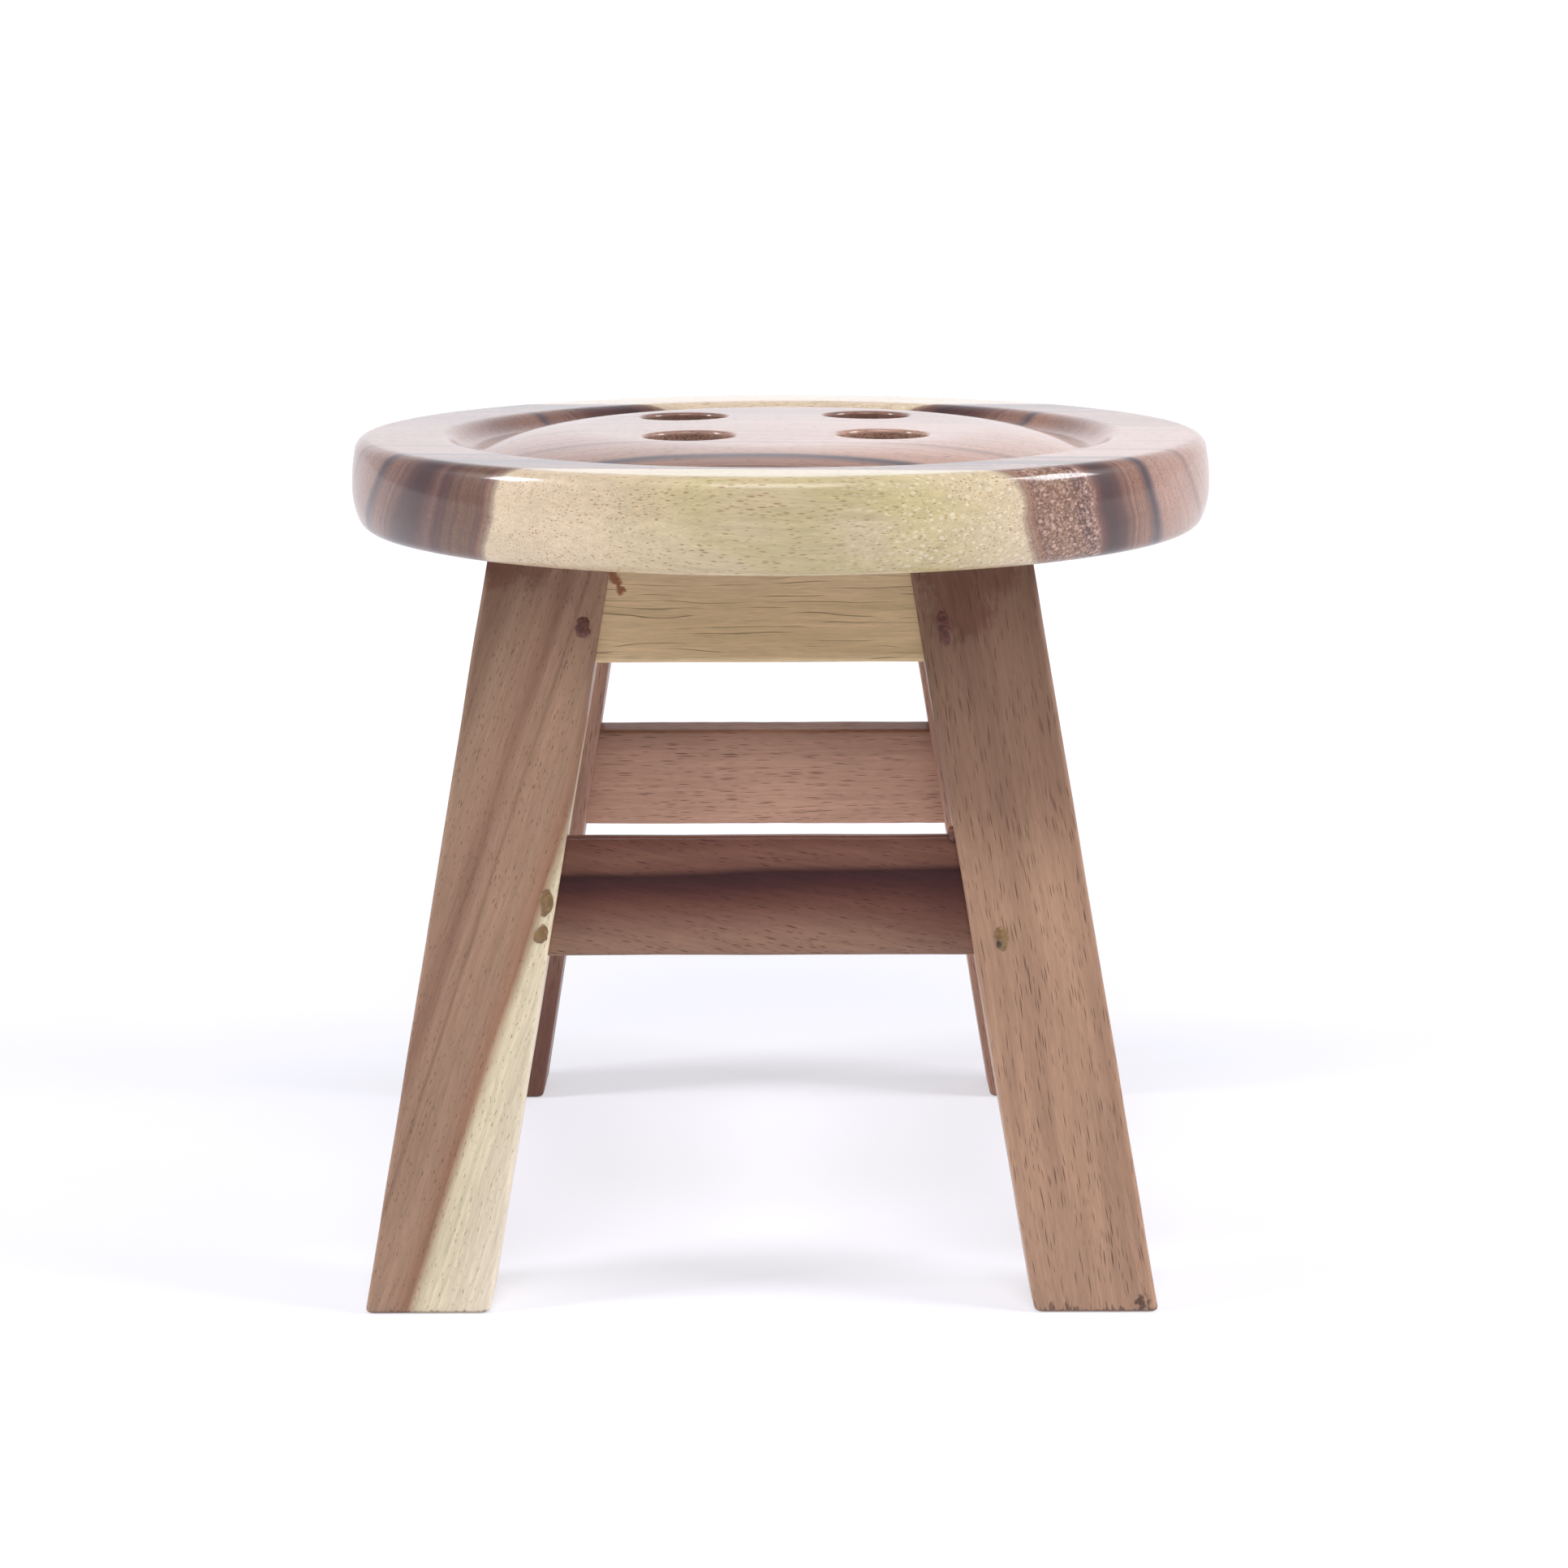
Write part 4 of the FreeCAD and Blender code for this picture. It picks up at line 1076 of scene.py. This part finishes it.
def make_legs():
    middle, _ = leg_grain(-1, -1)
    along = (SPLIT_LEG_SLANT, LEG_LEAN, 1.0)
    paint = band_paint(split_leg_measure, SPLIT_LEG_BANDS, VESSEL_BROWN, VESSEL_OLIVE, -110.5)
    paint = stain_and_shade_paint(paint, [(-84, -80, 218), (-74, -80, 219)], tone(120, 76, 60), 9, 0.6)
    leg(-1, -1, wood_finish("leg_wood_front_left", middle, along, worn_and_shaded_foot(paint, 0.6)), seed=10)

    middle, along = leg_grain(1, -1)
    paint = plain_paint(tone(180, 142, 116), tone(166, 130, 106), VESSEL_BROWN)
    # A big soft dark patch over the leg's top: painted shade from the seat above, not a stain.
    paint = stain_and_shade_paint(paint, [(56, -88, 200)], tone(122, 92, 74), 90, 0.7)
    dark_places = [(50, -81, 216), (62, -80, 218), (54, -82, 206)]
    paint = stain_and_shade_paint(paint, dark_places, tone(110, 66, 54), 12, 0.6)
    paint = stain_and_shade_paint(paint, [(106.6, -117.5, 3.5)], tone(70, 52, 46), 3, 0.8)
    leg(1, -1, wood_finish("leg_wood_front_right", middle, along, worn_and_shaded_foot(paint), long_dashes), seed=13)

    left_bands = ((0, tone(112, 72, 58)), (30, tone(116, 76, 62)),
                  (140, tone(172, 134, 114)), (222, tone(186, 148, 128)))
    right_bands = ((0, tone(160, 118, 98)), (222, tone(186, 146, 124)))
    for side, name, bands in ((-1, "left", left_bands), (1, "right", right_bands)):
        middle, along = leg_grain(side, 1)
        paint = worn_and_shaded_foot(band_paint(height_measure, bands, VESSEL_BROWN, VESSEL_BROWN, 60))
        wood = wood_finish("leg_wood_back_" + name, middle, along, paint, long_dashes)
        leg(side, 1, wood, seed=20 + side)


def make_aprons():
    bored = bored_tree()
    for number, side in enumerate(SIDES):
        along = side_turn(side) @ Vector((1, 0, 0))
        paint = plain_paint(tone(224, 194, 152), tone(214, 186, 142), VESSEL_CRACK)
        if side == "front":
            runs = [((-51, -79, 217.5), (-46.4, -80.5, 210.8)), ((-49, -79.5, 218), (-47.6, -80.5, 213)),
                    ((42, -79, 219), (43.4, -81, 208)), ((43.2, -81, 212), (44.4, -82, 204))]
            paint = stain_and_shade_paint(paint, runs, tone(140, 70, 36), 1.4, 0.85)
        wood = wood_finish("apron_wood_" + side, (0, 0, 200), along, paint, long_cracks, wander=4.5)
        mesh = bore_apron(rail_mesh(side, APRON, seed=40 + number * 3), side, bored, wood)
        new_piece("sanded_apron_" + side, mesh, ["apron_" + side])


def make_stretchers():
    # The back stretcher darkens towards its top: painted shade from the apron and seat above.
    salmon_bands = ((104, tone(198, 158, 136)), (125, tone(196, 156, 134)), (140, tone(158, 122, 103)))
    salmon = band_paint(height_measure, salmon_bands, VESSEL_BROWN, VESSEL_BROWN, 120)
    brown = plain_paint(tone(176, 130, 102), tone(158, 112, 88), VESSEL_BROWN)
    dark = band_paint(dark_stretcher_measure, DARK_STRETCHER_BANDS, VESSEL_BROWN, tone(70, 40, 36), 118)
    boards = {"front": (dark, fine_dashes, -0.2), "back": (salmon, long_dashes, 0.0),
              "left": (brown, long_dashes, 0.0), "right": (brown, long_dashes, 0.0)}
    for number, side in enumerate(SIDES):
        paint, vessels, slope = boards[side]
        along = side_turn(side) @ Vector((1, 0, slope))
        wood = wood_finish("stretcher_wood_" + side, (0, 0, 122), along, paint, vessels, shine=0.2)
        mesh = rail_mesh(side, STRETCHER, seed=60 + number * 3)
        new_piece("sanded_stretcher_" + side, mesh, ["stretcher_" + side], wood)


def make_putty():
    """The marks at the joints, one more at the front stretcher's left end, and a lump of dried glue."""
    group = mark_tree()
    resin = putty_finish("red_putty", tone(116, 66, 50), tone(84, 48, 40), [(-55.8, -83.4, 203.2)])
    pits = [(63.5, -98.5, 113.7), (64, -99.6, 108.2)]
    olive = putty_finish("olive_putty", tone(140, 108, 66), tone(118, 88, 54), pits)
    marks = joint_marks(APRON, (3.9 * MM, 2.0 * MM, 0.45 * MM))
    putty_marks("apron_putty_marks", marks, "apron_joint_putty", resin, 3.0, group)
    marks = joint_marks(STRETCHER, (4.2 * MM, 1.9 * MM, 0.45 * MM))
    (_, left_turn, _, left_outward), (_, right_turn, _, right_outward) = marks[:2]
    level = 111.5 * MM
    second = Vector((-70.7 * MM, -span_at(level), level))
    marks.append((second, left_turn, Vector((2.7 * MM, 1.9 * MM, 0.5 * MM)), left_outward))
    putty_marks("stretcher_putty_marks", marks, "stretcher_joint_putty", olive, 7.0, group)
    place = Vector((50.9 * MM, -91 * MM, 139.7 * MM))
    lump = (place, right_turn, Vector((2.3 * MM, 1.8 * MM, 1.4 * MM)), right_outward)
    putty_marks("glue_lump", [lump], "stretcher_joint_putty", resin, 5.0, group)


def show_steel():
    """New steel on the hidden staples and the seat screws."""
    steel = steel_finish("steel", tone(200, 200, 198), 0.3)
    for node in ("apron_joint_staples", "stretcher_joint_staples", "seat_screws"):
        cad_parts[node].data.materials.clear()
        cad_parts[node].data.materials.append(steel)


camera()
studio()
make_seat()
make_legs()
make_aprons()
make_stretchers()
make_putty()
show_steel()
